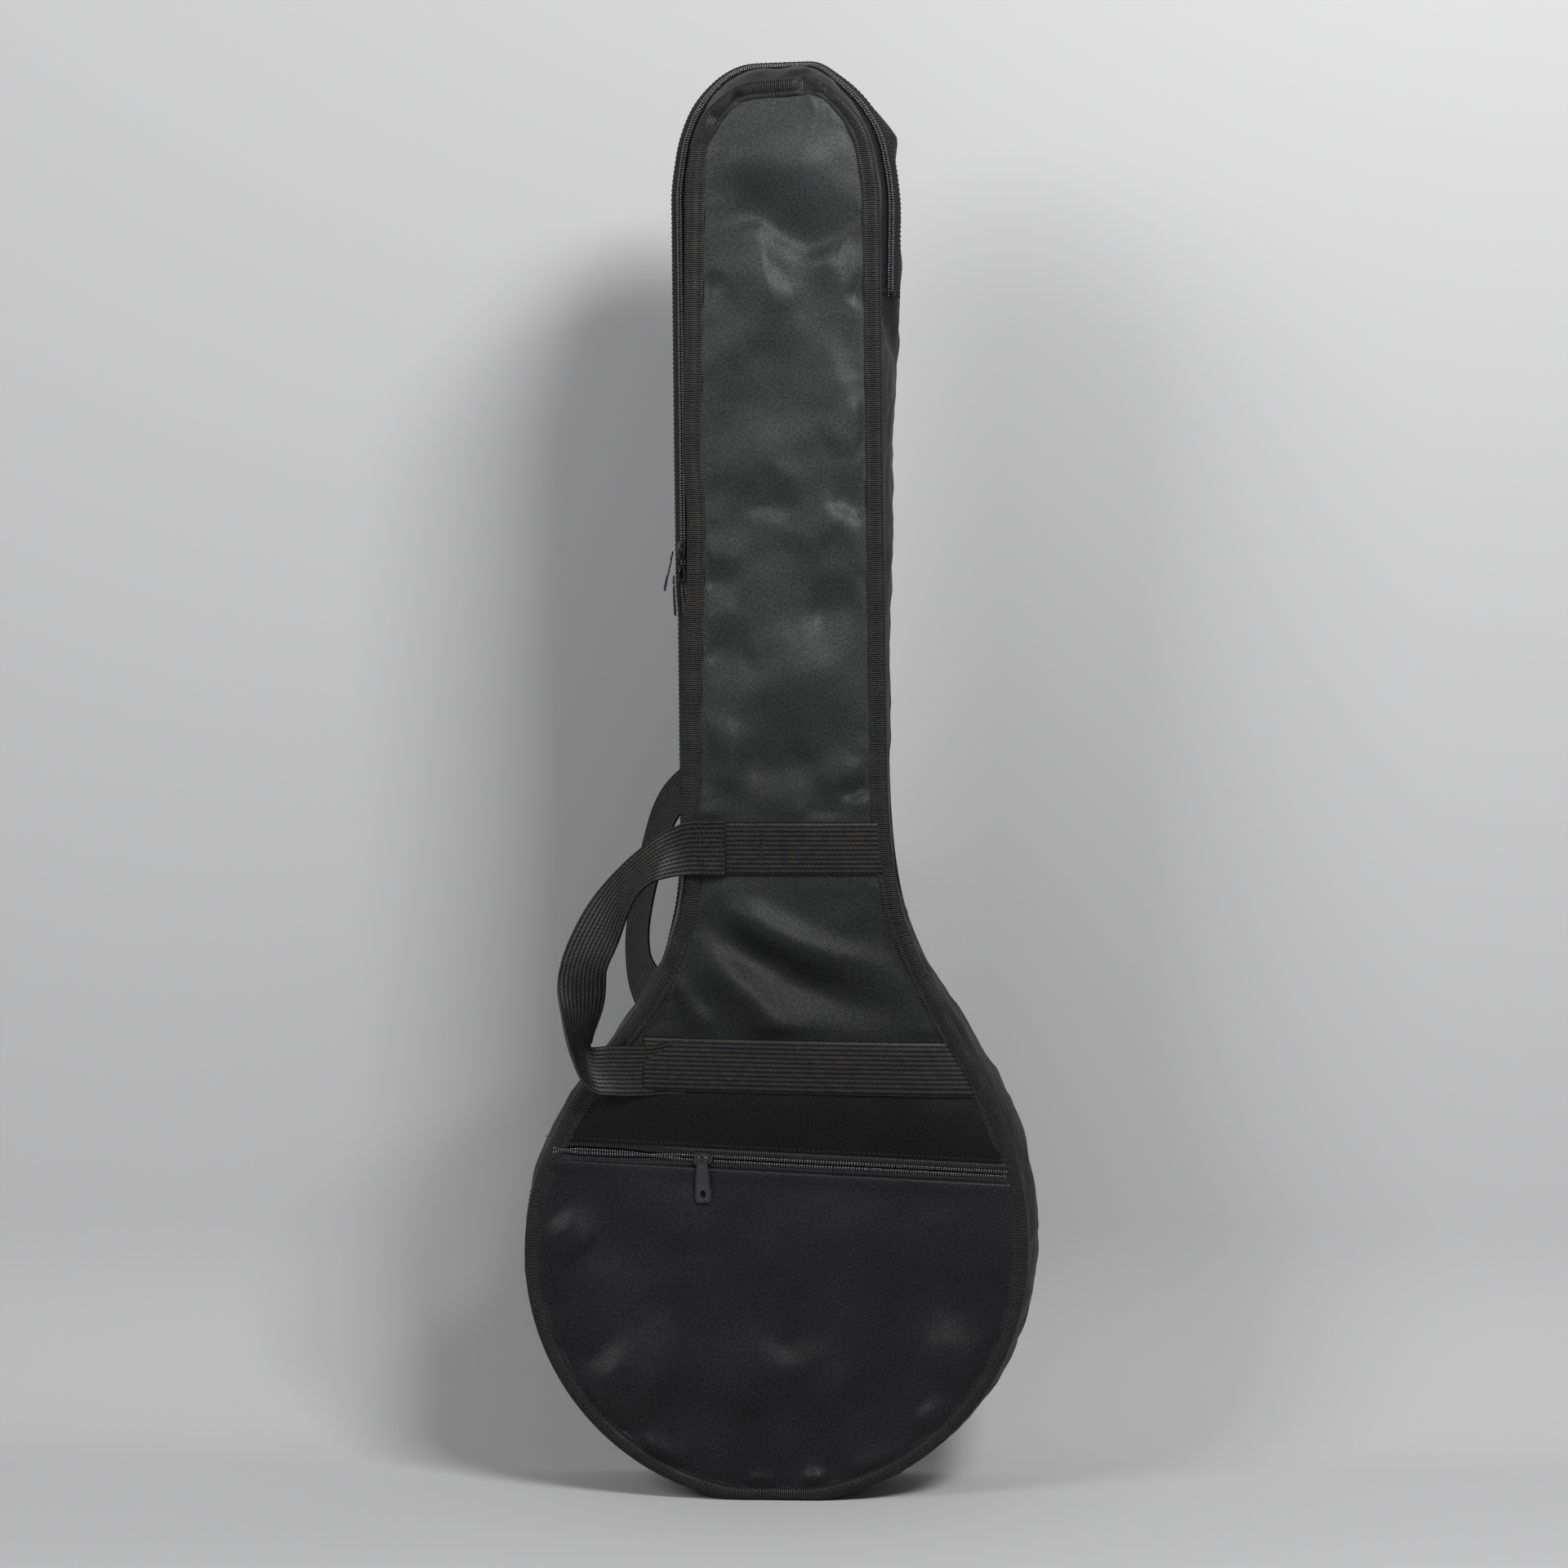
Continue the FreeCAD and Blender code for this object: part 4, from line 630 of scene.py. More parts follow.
FINISH = {"maple": maple, "dark_wood": dark_wood, "brass": brass, "head_film": film, "nickel": nickel,
          "pearl": pearl, "bone": bone, "string_steel": steel, "bag_cloth": cloth, "bag_padding": cloth,
          "binding_tape": tape, "zip_tape": zip_tape, "webbing": webbing, "zip_coil": coil,
          "zip_metal": lacquer, "pull_gunmetal": gunmetal}
SLOT_OF = {}
for entry in frame["record"].get("materials", []):
    for member in entry.get("nodes", []):
        SLOT_OF[member] = entry.get("slot")
for name, node in frame["nodes"].items():
    finish = FINISH.get(SLOT_OF.get(name))
    if finish is None:
        for key, material in FINISH.items():
            if any(s.material and key in s.material.name for s in node.material_slots):
                finish = material
    if finish is None:
        print("no finish known for", name)
        finish = nickel
    for place in node.material_slots:
        place.material = finish
    if not node.material_slots:
        node.data.materials.append(finish)


def keep(piece, body, slot, *nodes):
    """Hangs a finished piece on the body it rides on and hides the solids it stands for; its slot is not used."""
    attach(piece, body)
    if nodes:
        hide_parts(*nodes)


# Front and back cloth
FRONT_FOLDS = (
    (3.0, 18, 16, ((876, 222), (920, 196), (985, 198), (1040, 228))),
    (-4.4, 17, 9, ((864, 306), (892, 266), (930, 258), (960, 278), (990, 292), (1032, 280), (1060, 312))),
    (2.4, 14, 16, ((868, 350), (900, 332), (938, 340), (960, 330))),
    (1.1, 6, 8, ((996, 298), (1018, 325), (1045, 362))),
    (-1.8, 5, 7, ((1038, 366), (1052, 348), (1064, 325))),
    (-1.6, 4, 6, ((858, 372), (868, 350), (882, 322))),
    (2.0, 10, 14, ((985, 330), (930, 395), (868, 466))),
    (2.0, 10, 14, ((1000, 400), (1034, 470), (1064, 534))),
    (2.6, 22, 11, ((878, 600), (905, 576), (938, 556), (966, 570), (1002, 592))),
    (-2.0, 13, 6, ((898, 624), (935, 616), (965, 622), (988, 616))),
    (0.45, 3, 5, ((900, 634), (935, 622), (985, 630))),
    (1.8, 13, 9, ((1008, 540), (1035, 530), (1062, 542))),
    (-2.2, 12, 6, ((1006, 598), (1040, 612), (1064, 620))),
    (1.5, 9, 9, ((1003, 588), (1038, 640), (1068, 686))),
    (2.0, 14, 10, ((966, 676), (1000, 642), (1030, 652))),
    (-3.2, 18, 13, ((980, 738), (1020, 738), (1062, 728))),
    (2.0, 13, 8, ((854, 672), (885, 672), (922, 682))),
    (-1.6, 9, 7, ((854, 709), (880, 706), (908, 713))),
    (1.7, 9, 10, ((854, 740), (880, 742), (908, 746))),
    (-2.6, 16, 14, ((856, 784), (890, 792), (928, 780))),
    (3.0, 24, 18, ((890, 828), (945, 834), (1000, 816), (1056, 800))),
    (-3.2, 20, 16, ((892, 920), (950, 928), (1004, 906))),
    (2.2, 9, 9, ((878, 856), (892, 910), (897, 990))),
    (2.2, 13, 8, ((996, 952), (1030, 950), (1064, 938))),
    (-1.8, 8, 5, ((1026, 976), (1048, 964), (1068, 950))),
    (1.2, 5, 6, ((1036, 988), (1054, 984), (1070, 978))),
    (-1.6, 12, 8, ((980, 1002), (1005, 1002), (1034, 1004))),
    (4.6, 10, 12, ((868, 1094), (950, 1144), (1076, 1200))),
    (-3.6, 11, 11, ((852, 1112), (925, 1172), (1010, 1222), (1090, 1256))),
    (4.4, 10, 12, ((840, 1144), (900, 1204), (950, 1252), (1000, 1286))),
    (2.4, 6, 8, ((818, 1192), (846, 1232), (876, 1274))),
)
POCKET_FOLDS = (
    (3.0, 12, 12, ((676, 1482), (700, 1506), (722, 1532))),
    (-2.4, 7, 9, ((742, 1422), (741, 1490), (744, 1566))),
    (4.2, 20, 18, ((724, 1650), (765, 1690), (810, 1730))),
    (3.2, 10, 12, ((770, 1762), (806, 1782), (842, 1802))),
    (2.6, 6, 7, ((908, 1806), (934, 1816), (958, 1818))),
    (2.6, 6, 7, ((978, 1800), (998, 1808), (1016, 1802))),
    (3.6, 13, 15, ((1124, 1640), (1165, 1650), (1206, 1682))),
    (3.2, 9, 9, ((1124, 1712), (1148, 1732), (1174, 1754))),
    (3.0, 10, 12, ((1030, 1788), (1078, 1797), (1120, 1804))),
    (2.8, 13, 15, ((966, 1634), (930, 1680), (884, 1736))),
    (2.8, 13, 15, ((966, 1634), (1004, 1680), (1046, 1726))),
    (2.2, 12, 15, ((842, 1432), (846, 1480), (852, 1530))),
    (2.2, 14, 17, ((1008, 1436), (1030, 1470), (1056, 1520))),
    (-2.0, 11, 15, ((788, 1466), (800, 1560), (834, 1644))),
    (1.8, 12, 15, ((1150, 1450), (1140, 1510), (1150, 1580))),
)
UPPER_STRAP = ((-50.0, 464.0), (80.0, 464.0))
LOWER_STRAP = ((-90.0, 310.0), (160.0, 305.4))
BACK_LOWER_STRAP = ((-90.0, 310.0), (120.0, 306.6))
STRAP_HALF = 19.0
# The back straps stand this much higher, and every strap starts this far beyond its listed end
BACK_LIFT = 37.0
STRAP_REACH = 6.0
ZIP_FOLD_Z = POCKET_Z + 5.6
HEM_Z = POCKET_Z - 6.0


def strap_zone(x, z, lift=0.0):
    """1 under a strap, 0 away from it."""
    total = np.zeros_like(x)
    for (x0, z0), (x1, z1) in (UPPER_STRAP, LOWER_STRAP):
        middle = z0 + lift + (z1 - z0) * np.clip((x - x0) / (x1 - x0), 0, 1)
        gap = np.abs(z - middle)
        total = np.maximum(total, 1 - smooth((gap - STRAP_HALF - 1) / 9))
    return total


def fold_sum(x, z, folds, gain, widen):
    """The height of all a panel's folds, each gain times as high and widen times as wide as listed."""
    total = np.zeros_like(x)
    for tall, wide, other, points in folds:
        total += gain * stroke(x, z, points, tall, wide * widen, other * widen)
    return total


def front_depth(x, z):
    """Y of the front cloth, with its crown, its folds and the fold over the pocket zip."""
    dist, place = nearest_edge(x, z)
    slant = z + x * POCKET_LEAN
    above = smooth((slant - ZIP_FOLD_Z - 2) / 34)
    folds = fold_sum(x, z, FRONT_FOLDS, 1.7, 1.15)
    folds += 0.9 * waves(x, z, 70.0, 11, 2) + 0.10 * waves(x, z, 24.0, 12, 2)
    folds += puckers(dist, place, 5, 190, 1.0)
    crown = 4.4 * (1 - np.exp(-np.clip(dist - 9, 0, None) / 20)) * (1 + 0.9 * np.exp(-((z - 302) / 42) ** 2))
    free = smooth((dist - 9) / 9)
    zone = strap_zone(x, z)
    bulge = (crown + folds * free * (1 - 0.78 * zone) - 0.6 * zone) * above
    lip = 2.2 - 0.45 * np.exp(-((slant - ZIP_FOLD_Z - 4.2) / 1.1) ** 2)
    tuck = smooth((slant - ZIP_FOLD_Z + 0.45) / 0.9) * lip
    tuck *= smooth((dist - 3) / 8) * (1 - 0.6 * above)
    return FRONT_Y - bulge - tuck


# The least height of the pocket's cloth above its hem's level
POCKET_STAND = 0.2


def pocket_depth(x, z):
    """Y of the pocket's cloth, with its hem at the top."""
    dist, place = nearest_edge(x, z)
    slant = z + x * POCKET_LEAN
    below = smooth((HEM_Z - slant) / 70)
    folds = fold_sum(x, z, POCKET_FOLDS, 2.2, 1.5)
    folds += 1.3 * waves(x * 1.5, z * 0.6, 85.0, 21, 2) + 0.12 * waves(x, z, 24.0, 22, 2)
    folds += puckers(dist, place, 6, 170, 1.2)
    crown = 5.0 * (1 - np.exp(-np.clip(dist - 9, 0, None) / 26))
    free = smooth((dist - 8) / 10)
    hem = smooth((slant - HEM_Z + 9.5) / 1.6) * 0.7 - smooth((slant - HEM_Z + 1.2) / 1.2) * 0.9
    hem = hem * smooth((dist - 4) / 6)
    stand = crown * (0.35 + 0.65 * below) + folds * free * (0.2 + 0.8 * below)
    over = stand - POCKET_STAND
    return FRONT_Y - 1.3 - (POCKET_STAND + 0.5 * (over + np.sqrt(over ** 2 + 0.5))) - hem


def back_depth(x, z):
    """Y of the back cloth."""
    dist, place = nearest_edge(x, z)
    folds = 1.1 * waves(x, z, 120.0, 31) + 0.4 * waves(x, z, 40.0, 32) + puckers(dist, place, 7, 150, 1.2)
    crown = 5.0 * (1 - np.exp(-np.clip(dist - 9, 0, None) / 24))
    zone = strap_zone(x, z, BACK_LIFT)
    return BACK_Y + crown + folds * smooth((dist - 9) / 12) * (1 - 0.75 * zone) - 0.6 * zone


front = cloth_panel("front_cloth", front_depth, 1.2, 1.0, 1100.0, cloth, POCKET_LEAN, cols=110, step=2.6)
keep(front, BAG, "bag_cloth", "front_panel", "front_padding")

pocket = cloth_panel("pocket_front", pocket_depth, 1.2, 1.0, HEM_Z, pocket_cloth_shaded, POCKET_LEAN, cols=110, step=2.6)
thicken(pocket, 0.7)
keep(pocket, BAG, "bag_cloth", "pocket_panel")

back = cloth_panel("back_cloth", back_depth, 1.2, 1.0, 1100.0, cloth, cols=90, step=4.0, behind=True)
keep(back, BAG, "bag_cloth", "back_panel", "back_padding")


# Gusset
LEFT_HALF = np.arange(COUNT) > COUNT // 2
RIGHT_END = int(np.argmin(np.where(~LEFT_HALF, np.abs(CROWN_LINE[:, 1] - ZIP_RIGHT_Z), 1e9)))
LEFT_END = int(np.argmin(np.where(LEFT_HALF, np.abs(CROWN_LINE[:, 1] - ZIP_LEFT_Z), 1e9)))
GUSSET_RUN = lengths(CROWN_LINE)


def gusset_rows(y_values):
    """Depths spread so that the curved shoulders get more rows."""
    share = np.clip((BACK_Y - np.abs(y_values)) / (BACK_Y - CROWN_HALF), 0, 1)
    return np.sin(share * math.pi / 2)


GAP = np.linalg.norm(CROWN_LINE - EDGE_LINE, axis=1)
CROWN_Z = CROWN_LINE[:, 1]
SIDEWAYS = CROWN_OUT[:, 0]
# How far the zip's chain leans forward at each place: most on the head, none round the pot
LEAN_SHARE = np.where(SIDEWAYS > 0.3, smooth((CROWN_Z - ZIP_RIGHT_Z + 60) / 55), smooth((CROWN_Z - 330) / 120))
CHAIN_LEAN = np.arcsin(np.clip((GAP - 2) / 12, 0, 0.68)) * (0.55 + 0.45 * np.abs(SIDEWAYS)) * LEAN_SHARE
CHAIN_DROP = -np.clip(9 * np.sin(CHAIN_LEAN) - 3, 0, None)


def skew(indexes, y):
    """How far the wall leaves its even bulge: by the leaning zip, and at the head's back corner."""
    i = indexes % COUNT
    y = np.asarray(y, float)[None]
    gap, lean, drop = GAP[i][:, None], np.sin(CHAIN_LEAN[i])[:, None], CHAIN_DROP[i][:, None]
    base = -gap * (1 - gusset_rows(y))
    ahead = -gap + (drop - 9.5 * lean + gap) * np.sin(np.clip((y + 50) / 41, 0, 1) * math.pi / 2)
    behind = base + (drop + 9.5 * lean) * (1 - smooth((y - 9) / 30))
    wanted = np.where(y < -9, ahead, np.where(y > 9, behind, drop + y / 9 * 9.5 * lean))
    total = np.clip(lean / 0.25, 0, 1) * (wanted - base)
    right = smooth((SIDEWAYS[i] - 0.3) / 0.4)
    corner = 9.0 * np.exp(-np.abs((CROWN_Z[i] - 984) / 15) ** 1.3) * right
    flank = 3.5 * np.exp(-((CROWN_Z[i] - 885) / 60) ** 2) * smooth((SIDEWAYS[i] - 0.6) / 0.3)
    return total + (corner + flank)[:, None] * smooth((y - 8) / 20) * smooth((BACK_Y - y) / 14)


WALL_THICK = 1.4


def gusset_piece(name, indexes, y_values, seed, by_zip=False):
    """A wall between the two edges, slack away from its seams and from the zip."""
    share = gusset_rows(y_values)
    edge = EDGE_LINE[indexes % COUNT]
    crown = CROWN_LINE[indexes % COUNT]
    out = CROWN_OUT[indexes % COUNT]
    run = GUSSET_RUN[indexes % COUNT] + (indexes >= COUNT) * GUSSET_RUN[-1]
    flat = edge[:, None] + (crown - edge)[:, None] * share[None, :, None]
    s = np.repeat(run[:, None], len(y_values), 1)
    y = np.repeat(y_values[None], len(indexes), 0)
    free = smooth((BACK_Y - np.abs(y) - 2) / 12)
    sag = 1.1 * waves(s, y * 1.4, 95.0, seed) + 0.5 * waves(s, y, 33.0, seed + 1)
    sag += 0.5 * waves(s * 1.8, y * 0.5, 60.0, seed + 2, 2)
    sag *= free * (1 - by_zip * smooth((20 - np.abs(y)) / 9))
    flat = flat + out[:, None] * (sag + skew(indexes, y_values))[..., None]
    piece = grid_object(name, at_depth(flat, y), run, y_values, gusset_cloth_shaded)
    thicken(piece, WALL_THICK)
    return piece


side_rows = np.sort(np.concatenate([np.linspace(-50, -26, 17), np.linspace(-24, 24, 13), np.linspace(26, 50, 17)]))
side_idx = np.arange(LEFT_END - 1, COUNT + RIGHT_END + 2)
side = gusset_piece("side_wall", side_idx, side_rows, 41)
keep(side, BAG, "bag_cloth", "side_gusset")

zip_idx = np.arange(RIGHT_END, LEFT_END + 1)
half_rows = np.concatenate([np.linspace(-50, -26, 17), np.linspace(-24, -9, 8)])
front_wall = gusset_piece("zip_wall_front", zip_idx, half_rows, 51, by_zip=True)
back_wall = gusset_piece("zip_wall_back", zip_idx, -half_rows[::-1], 61, by_zip=True)
for wall, node in ((front_wall, "zip_gusset_front"), (back_wall, "zip_gusset_back")):
    keep(wall, BAG, "bag_cloth", node)


# Bindings
BAND = ((-12.2, -0.4), (-12.3, 1.0), (-11.6, 1.75), (-10.4, 2.0), (-9.0, 2.0), (-8.3, 1.55), (-7.6, 2.1),
        (-5.6, 2.6), (-3.2, 2.75), (-1.2, 2.5), (0.3, 1.7), (1.0, 0.5), (1.15, -1.2), (0.95, -3.2),
        (0.3, -4.2), (-0.5, -4.0), (-0.8, -1.0), (-6.0, -0.5))


def binding(name, side, seed, node):
    """Ribbed tape folded over the panel's edge and sewn down by a line of stitches."""
    profile = np.array(BAND)
    run = EDGE_RUN[:-1]
    ripple = 0.30 * np.sin(run / 5.1 + 2 * np.sin(run / 37.0)) + 0.25 * waves(run, run * 0.3, 30.0, seed)
    rings = np.repeat(profile[None], COUNT, 0)
    height = np.clip(rings[..., 1], 0, None)
    rings[..., 1] += ripple[:, None] * np.clip(height / 2.0, 0, 1) * 0.7
    rings[..., 0] += (0.25 * waves(run, run * 0.2, 46.0, seed + 1))[:, None] * (profile[None, :, 0] < -8)
    centre = at_depth(EDGE_LINE, side * BACK_Y)
    across = at_depth(EDGE_OUT, 0.0)
    up = np.zeros((COUNT, 3))
    up[:, 1] = side
    rings = rings if side < 0 else rings[:, ::-1]
    points = centre[:, None] + across[:, None] * rings[..., 0:1] + up[:, None] * rings[..., 1:2]
    piece = grid_object(name, points, lengths(centre), lengths(rings[0]), tape, wrap_rows=True, wrap_cols=True)
    keep(piece, BAG, "binding_tape", node)
    line = centre - across * 8.3 + up * 1.6
    stitches(f"{name}_stitches", line, up, 3.6, 2.3, "binding_tape", closed=True)


def resample(line, pitch, closed=False):
    line = np.asarray(line, float)
    if closed:
        line = np.vstack([line, line[:1]])
    run = np.concatenate([[0], np.cumsum(np.linalg.norm(np.diff(line, axis=0), axis=1))])
    count = max(2, int(round(run[-1] / pitch)) + (0 if closed else 1))
    where = np.linspace(0, run[-1], count, endpoint=not closed)
    return np.stack([np.interp(where, run, line[:, i]) for i in range(3)], 1), where, run


STITCH_THICK = 0.34
STITCH_TALL = 0.28


def stitches(name, line, ups, pitch, long, slot, closed=False):
    """A row of stitches along a line."""
    points, where, run = resample(line, pitch, closed)
    full = np.vstack([ups, ups[:1]]) if closed else np.asarray(ups, float)
    if closed:
        ahead = np.roll(points, -1, 0) - np.roll(points, 1, 0)
    else:
        ahead = np.gradient(points, axis=0)
    along = unit_rows(ahead)
    up = np.stack([np.interp(where, run, full[:, i]) for i in range(3)], 1)
    up = unit_rows(up - along * (up * along).sum(1)[:, None])
    across = np.cross(up, along)
    base, faces = capsule(long, STITCH_THICK, STITCH_TALL, 6, 5)
    frames = np.stack([along, across, up, points + up * STITCH_TALL * 0.35], -1)
    keep(copies(name, base, faces, frames, thread), BAG, slot)


binding("front_edge_band", -1, 71, "front_binding")
binding("back_edge_band", 1, 81, "back_binding")


# Main zip
TOOTH_PITCH = 1.8


def tube_teeth(name, line, outs, offset, node):
    """One side of a coil: rounded loops side by side along a line."""
    points, where, run = resample(line, TOOTH_PITCH)
    along = unit_rows(np.gradient(points, axis=0))
    out = unit_rows(np.stack([np.interp(where, run, outs[:, i]) for i in range(3)], 1))
    across = np.cross(out, along)
    centre = points + across * offset
    base, faces = capsule(2.9, 0.74, 0.95, 8, 6)
    frames = np.stack([across, along, out, centre], -1)
    keep(copies(name, base, faces, frames, coil), BAG, "zip_coil", node)


def tape_strip(name, points, run, rows, way, node):
    """The woven tape beside one row of teeth."""
    strip = grid_object(name, points, run, rows, zip_tape, flip=way < 0)
    thicken(strip, 0.5)
    keep(strip, BAG, "zip_tape", node)


ZIP_OUT = at_depth(CROWN_OUT[zip_idx], 0.0)
ZIP_LINE = at_depth(CROWN_LINE[zip_idx], 0.0) + ZIP_OUT * CHAIN_DROP[zip_idx][:, None]
turn = CHAIN_LEAN[zip_idx][:, None]
CHAIN_BACK = np.array([0, 1.0, 0]) * np.cos(turn) + ZIP_OUT * np.sin(turn)
CHAIN_OUT = ZIP_OUT * np.cos(turn) - np.array([0, 1.0, 0]) * np.sin(turn)
for side_name, way in (("front", -1), ("back", 1)):
    tube_teeth(f"main_{side_name}_teeth", ZIP_LINE + CHAIN_OUT * 0.2, CHAIN_OUT, -way * 1.75,
               f"main_zip_{side_name}_coil")
    rows = np.array([0.35, 1.2, 2.4, 3.4, 4.2, 5.6, 7.2, 9.6, 11.0])
    drop = np.array([-1.6, -1.5, -1.5, -1.5, -1.1, -0.9, -0.9, -0.9, -1.4])
    pts = ZIP_LINE[:, None] + CHAIN_OUT[:, None] * drop[None, :, None]
    pts = pts + CHAIN_BACK[:, None] * way * rows[None, :, None]
    tape_strip(f"main_{side_name}_tape", pts, GUSSET_RUN[zip_idx], rows, way, f"main_zip_{side_name}_tape")
    for label, place_y in (("near", 10.6), ("far", 13.2)):
        line = at_depth(CROWN_LINE[zip_idx], way * place_y) + ZIP_OUT * (0.15 + skew(zip_idx, [way * place_y]))
        stitches(f"main_{side_name}_{label}_stitches", line, ZIP_OUT, 3.4, 2.2, "zip_tape")


# Zip across the pocket
def pocket_line(rise, x0, x1, y, count):
    x = np.linspace(x0, x1, count)
    return np.stack([x, np.full(count, y), POCKET_Z + rise - x * POCKET_LEAN], 1)


POCKET_LEFT = -161.0
POCKET_RIGHT = 160.0
SLIDER_X = -53.0
TAPE_HALF = 7.8


def opening(x, way):
    """How far one side of the pocket zip stands from the middle, left of its slider."""
    share = np.clip((SLIDER_X - 4 - x) / 62.0, 0, 1)
    tail = np.clip((x - POCKET_LEFT) / 20.0, 0, 1)
    return (3.4 if way > 0 else 2.6) * smooth(share) * smooth(tail) ** 0.5


for label, way in (("upper", 1), ("lower", -1)):
    line = pocket_line(0, POCKET_LEFT, POCKET_RIGHT, -52.1, 260)
    line[:, 2] += way * opening(line[:, 0], way)
    ups = np.tile([0, -1.0, 0], (len(line), 1))
    tube_teeth(f"pocket_{label}_teeth", line, ups, way * -1.75, f"pocket_zip_{label}_coil")
    reach = np.array([0.4, 1.6, 3.0, 3.8, 5.0, TAPE_HALF])
    level = np.array([-51.2, -51.15, -51.15, -51.5, -51.6, -51.5])
    pts = np.repeat(line[:, None], len(reach), 1)
    pts[..., 2] += way * reach[None]
    middle = POCKET_Z - pts[..., 0] * POCKET_LEAN
    pts[..., 2] = np.where(way * (pts[..., 2] - middle) > TAPE_HALF, middle + way * TAPE_HALF, pts[..., 2])
    pts[..., 1] = level[None]
    tape_strip(f"pocket_{label}_tape", pts, lengths(line, False), reach, way, f"pocket_zip_{label}_tape")

hem_x = np.linspace(-166, 163, 220)
for label, rise, depth in (("hem", HEM_Z - POCKET_Z - 2.4, pocket_depth),
                           ("fold", ZIP_FOLD_Z - POCKET_Z + 4.2, front_depth)):
    z_line = POCKET_Z + rise - hem_x * POCKET_LEAN
    y_line = depth(hem_x, z_line)
    line = np.stack([hem_x, y_line, z_line], 1)
    stitches(f"pocket_{label}_stitches", line, np.tile([0, -1.0, 0], (len(line), 1)), 3.2, 2.1, "bag_cloth")


# Straps and handles
STRAP_END = row_ends(outline(EDGE, 7.0))[1]


def strap(name, ends, depth, way, lift, node):
    """Webbing sewn across a panel, following its cloth."""
    (x0, z0), (x1, z1) = ends
    x0 -= STRAP_REACH
    rows = np.linspace(0, 1, 90)
    across = np.array([-19.0, -18.6, -17.6, -14, -9, -4, 0, 4, 9, 14, 17.6, 18.6, 19.0])
    drop = np.array([1.2, 0.45, 0.05, 0, 0, 0, 0, 0, 0, 0, 0.05, 0.45, 1.2])
    run = np.hypot(x1 - x0, z1 - z0)
    along = np.array([x1 - x0, z1 - z0]) / run
    normal = np.array([-along[1], along[0]])
    first = np.array([x0, z0 + lift]) + across[:, None] * normal
    reach_x = np.array([min(x1 - x0, STRAP_END(f[1]) - f[0]) for f in first])
    flat = first[None] + rows[:, None, None] * (reach_x[:, None] * along / along[0])[None]
    y = depth(flat[..., 0], flat[..., 1])
    wave = 0.25 * waves(flat[..., 0], flat[..., 1], 45.0, 91, 2)
    y = y + way * (2.0 - drop[None] + wave)
    piece = grid_object(name, at_depth(flat, y), rows * run, across, webbing, flip=way < 0)
    thicken(piece, 1.6)
    keep(piece, BAG, "webbing", node)


for panel, depth, way, lift, lower in (("front", front_depth, -1, 0.0, LOWER_STRAP),
                                       ("back", back_depth, 1, BACK_LIFT, BACK_LOWER_STRAP)):
    for label, ends in (("upper", UPPER_STRAP), ("lower", lower)):
        strap(f"{panel}_{label}_webbing", ends, depth, way, lift, f"{panel}_{label}_strap")


LOOP_ROWS = 150


def ribbon(name, outer, inner, node):
    """A loop of webbing between two edges given as points, bending where it leaves the bag."""
    a = curve_of(outer, LOOP_ROWS)
    b = curve_of(inner, LOOP_ROWS)
    middle = (a + b) / 2
    half = (b - a) / 2
    half = unit_rows(half) * np.clip(np.linalg.norm(half, axis=1), 17.5, 20.5)[:, None]
    share = np.array([-1, -0.97, -0.9, -0.7, -0.45, -0.2, 0, 0.2, 0.45, 0.7, 0.9, 0.97, 1])
    along = unit_rows(np.gradient(middle, axis=0))
    face = unit_rows(np.cross(half, along))
    cup = 1.0 * (1 - share ** 2)
    points = middle[:, None] + half[:, None] * share[None, :, None] + face[:, None] * cup[None, :, None]
    run = np.concatenate([[0], np.cumsum(np.linalg.norm(np.diff(middle, axis=0), axis=1))])
    piece = grid_object(name, points, run, share * 19, webbing)
    thicken(piece, 1.7, 0.0)
    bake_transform(piece)
    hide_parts(node)


def spot(px, py, y):
    x, z = photo(px, py)
    return (x, y, z)


LOOP_STATIONS = (
    ((888, 1007, -56.6), (888, 1073, -56.6)), ((868, 1007, -57.0), (868, 1073, -57.0)),
    ((838, 1010, -57.4), (840, 1073, -57.6)), ((800, 1031, -52), (802, 1080, -72)),
    ((748, 1075, -46), (778, 1104, -72)), ((712, 1122, -52), (758, 1156, -70)),
    ((686, 1185, -58), (744, 1190, -66)), ((690, 1240, -66), (734, 1240, -46)),
    ((700, 1284, -72), (722, 1276, -42)), ((722, 1328, -68), (722, 1290, -50)),
    ((752, 1340, -62), (752, 1284, -55)), ((797, 1341, -57.4), (797, 1282, -57.4)),
    ((824, 1340, -57.2), (824, 1276, -57.2)), ((850, 1340, -57.0), (850, 1275, -57.0)))
ribbon("front_loop", [spot(*a) for a, b in LOOP_STATIONS], [spot(*b) for a, b in LOOP_STATIONS],
       "front_handle")


def back_spot(s, r, n):
    """A point on the back loop: along the swing line, out from it, and square to it."""
    base = np.array([-50.0, 53.8, 501.0])
    line = np.array([-90.0, 53.8, 347.0]) - base
    way = line / np.linalg.norm(line)
    left = np.array([way[2], 0, -way[0]])
    out = left * math.cos(math.radians(60)) + np.array([0, 1.0, 0]) * math.sin(math.radians(60))
    square = np.cross(way, out)
    return tuple(base + way * s + out * r + square * n)


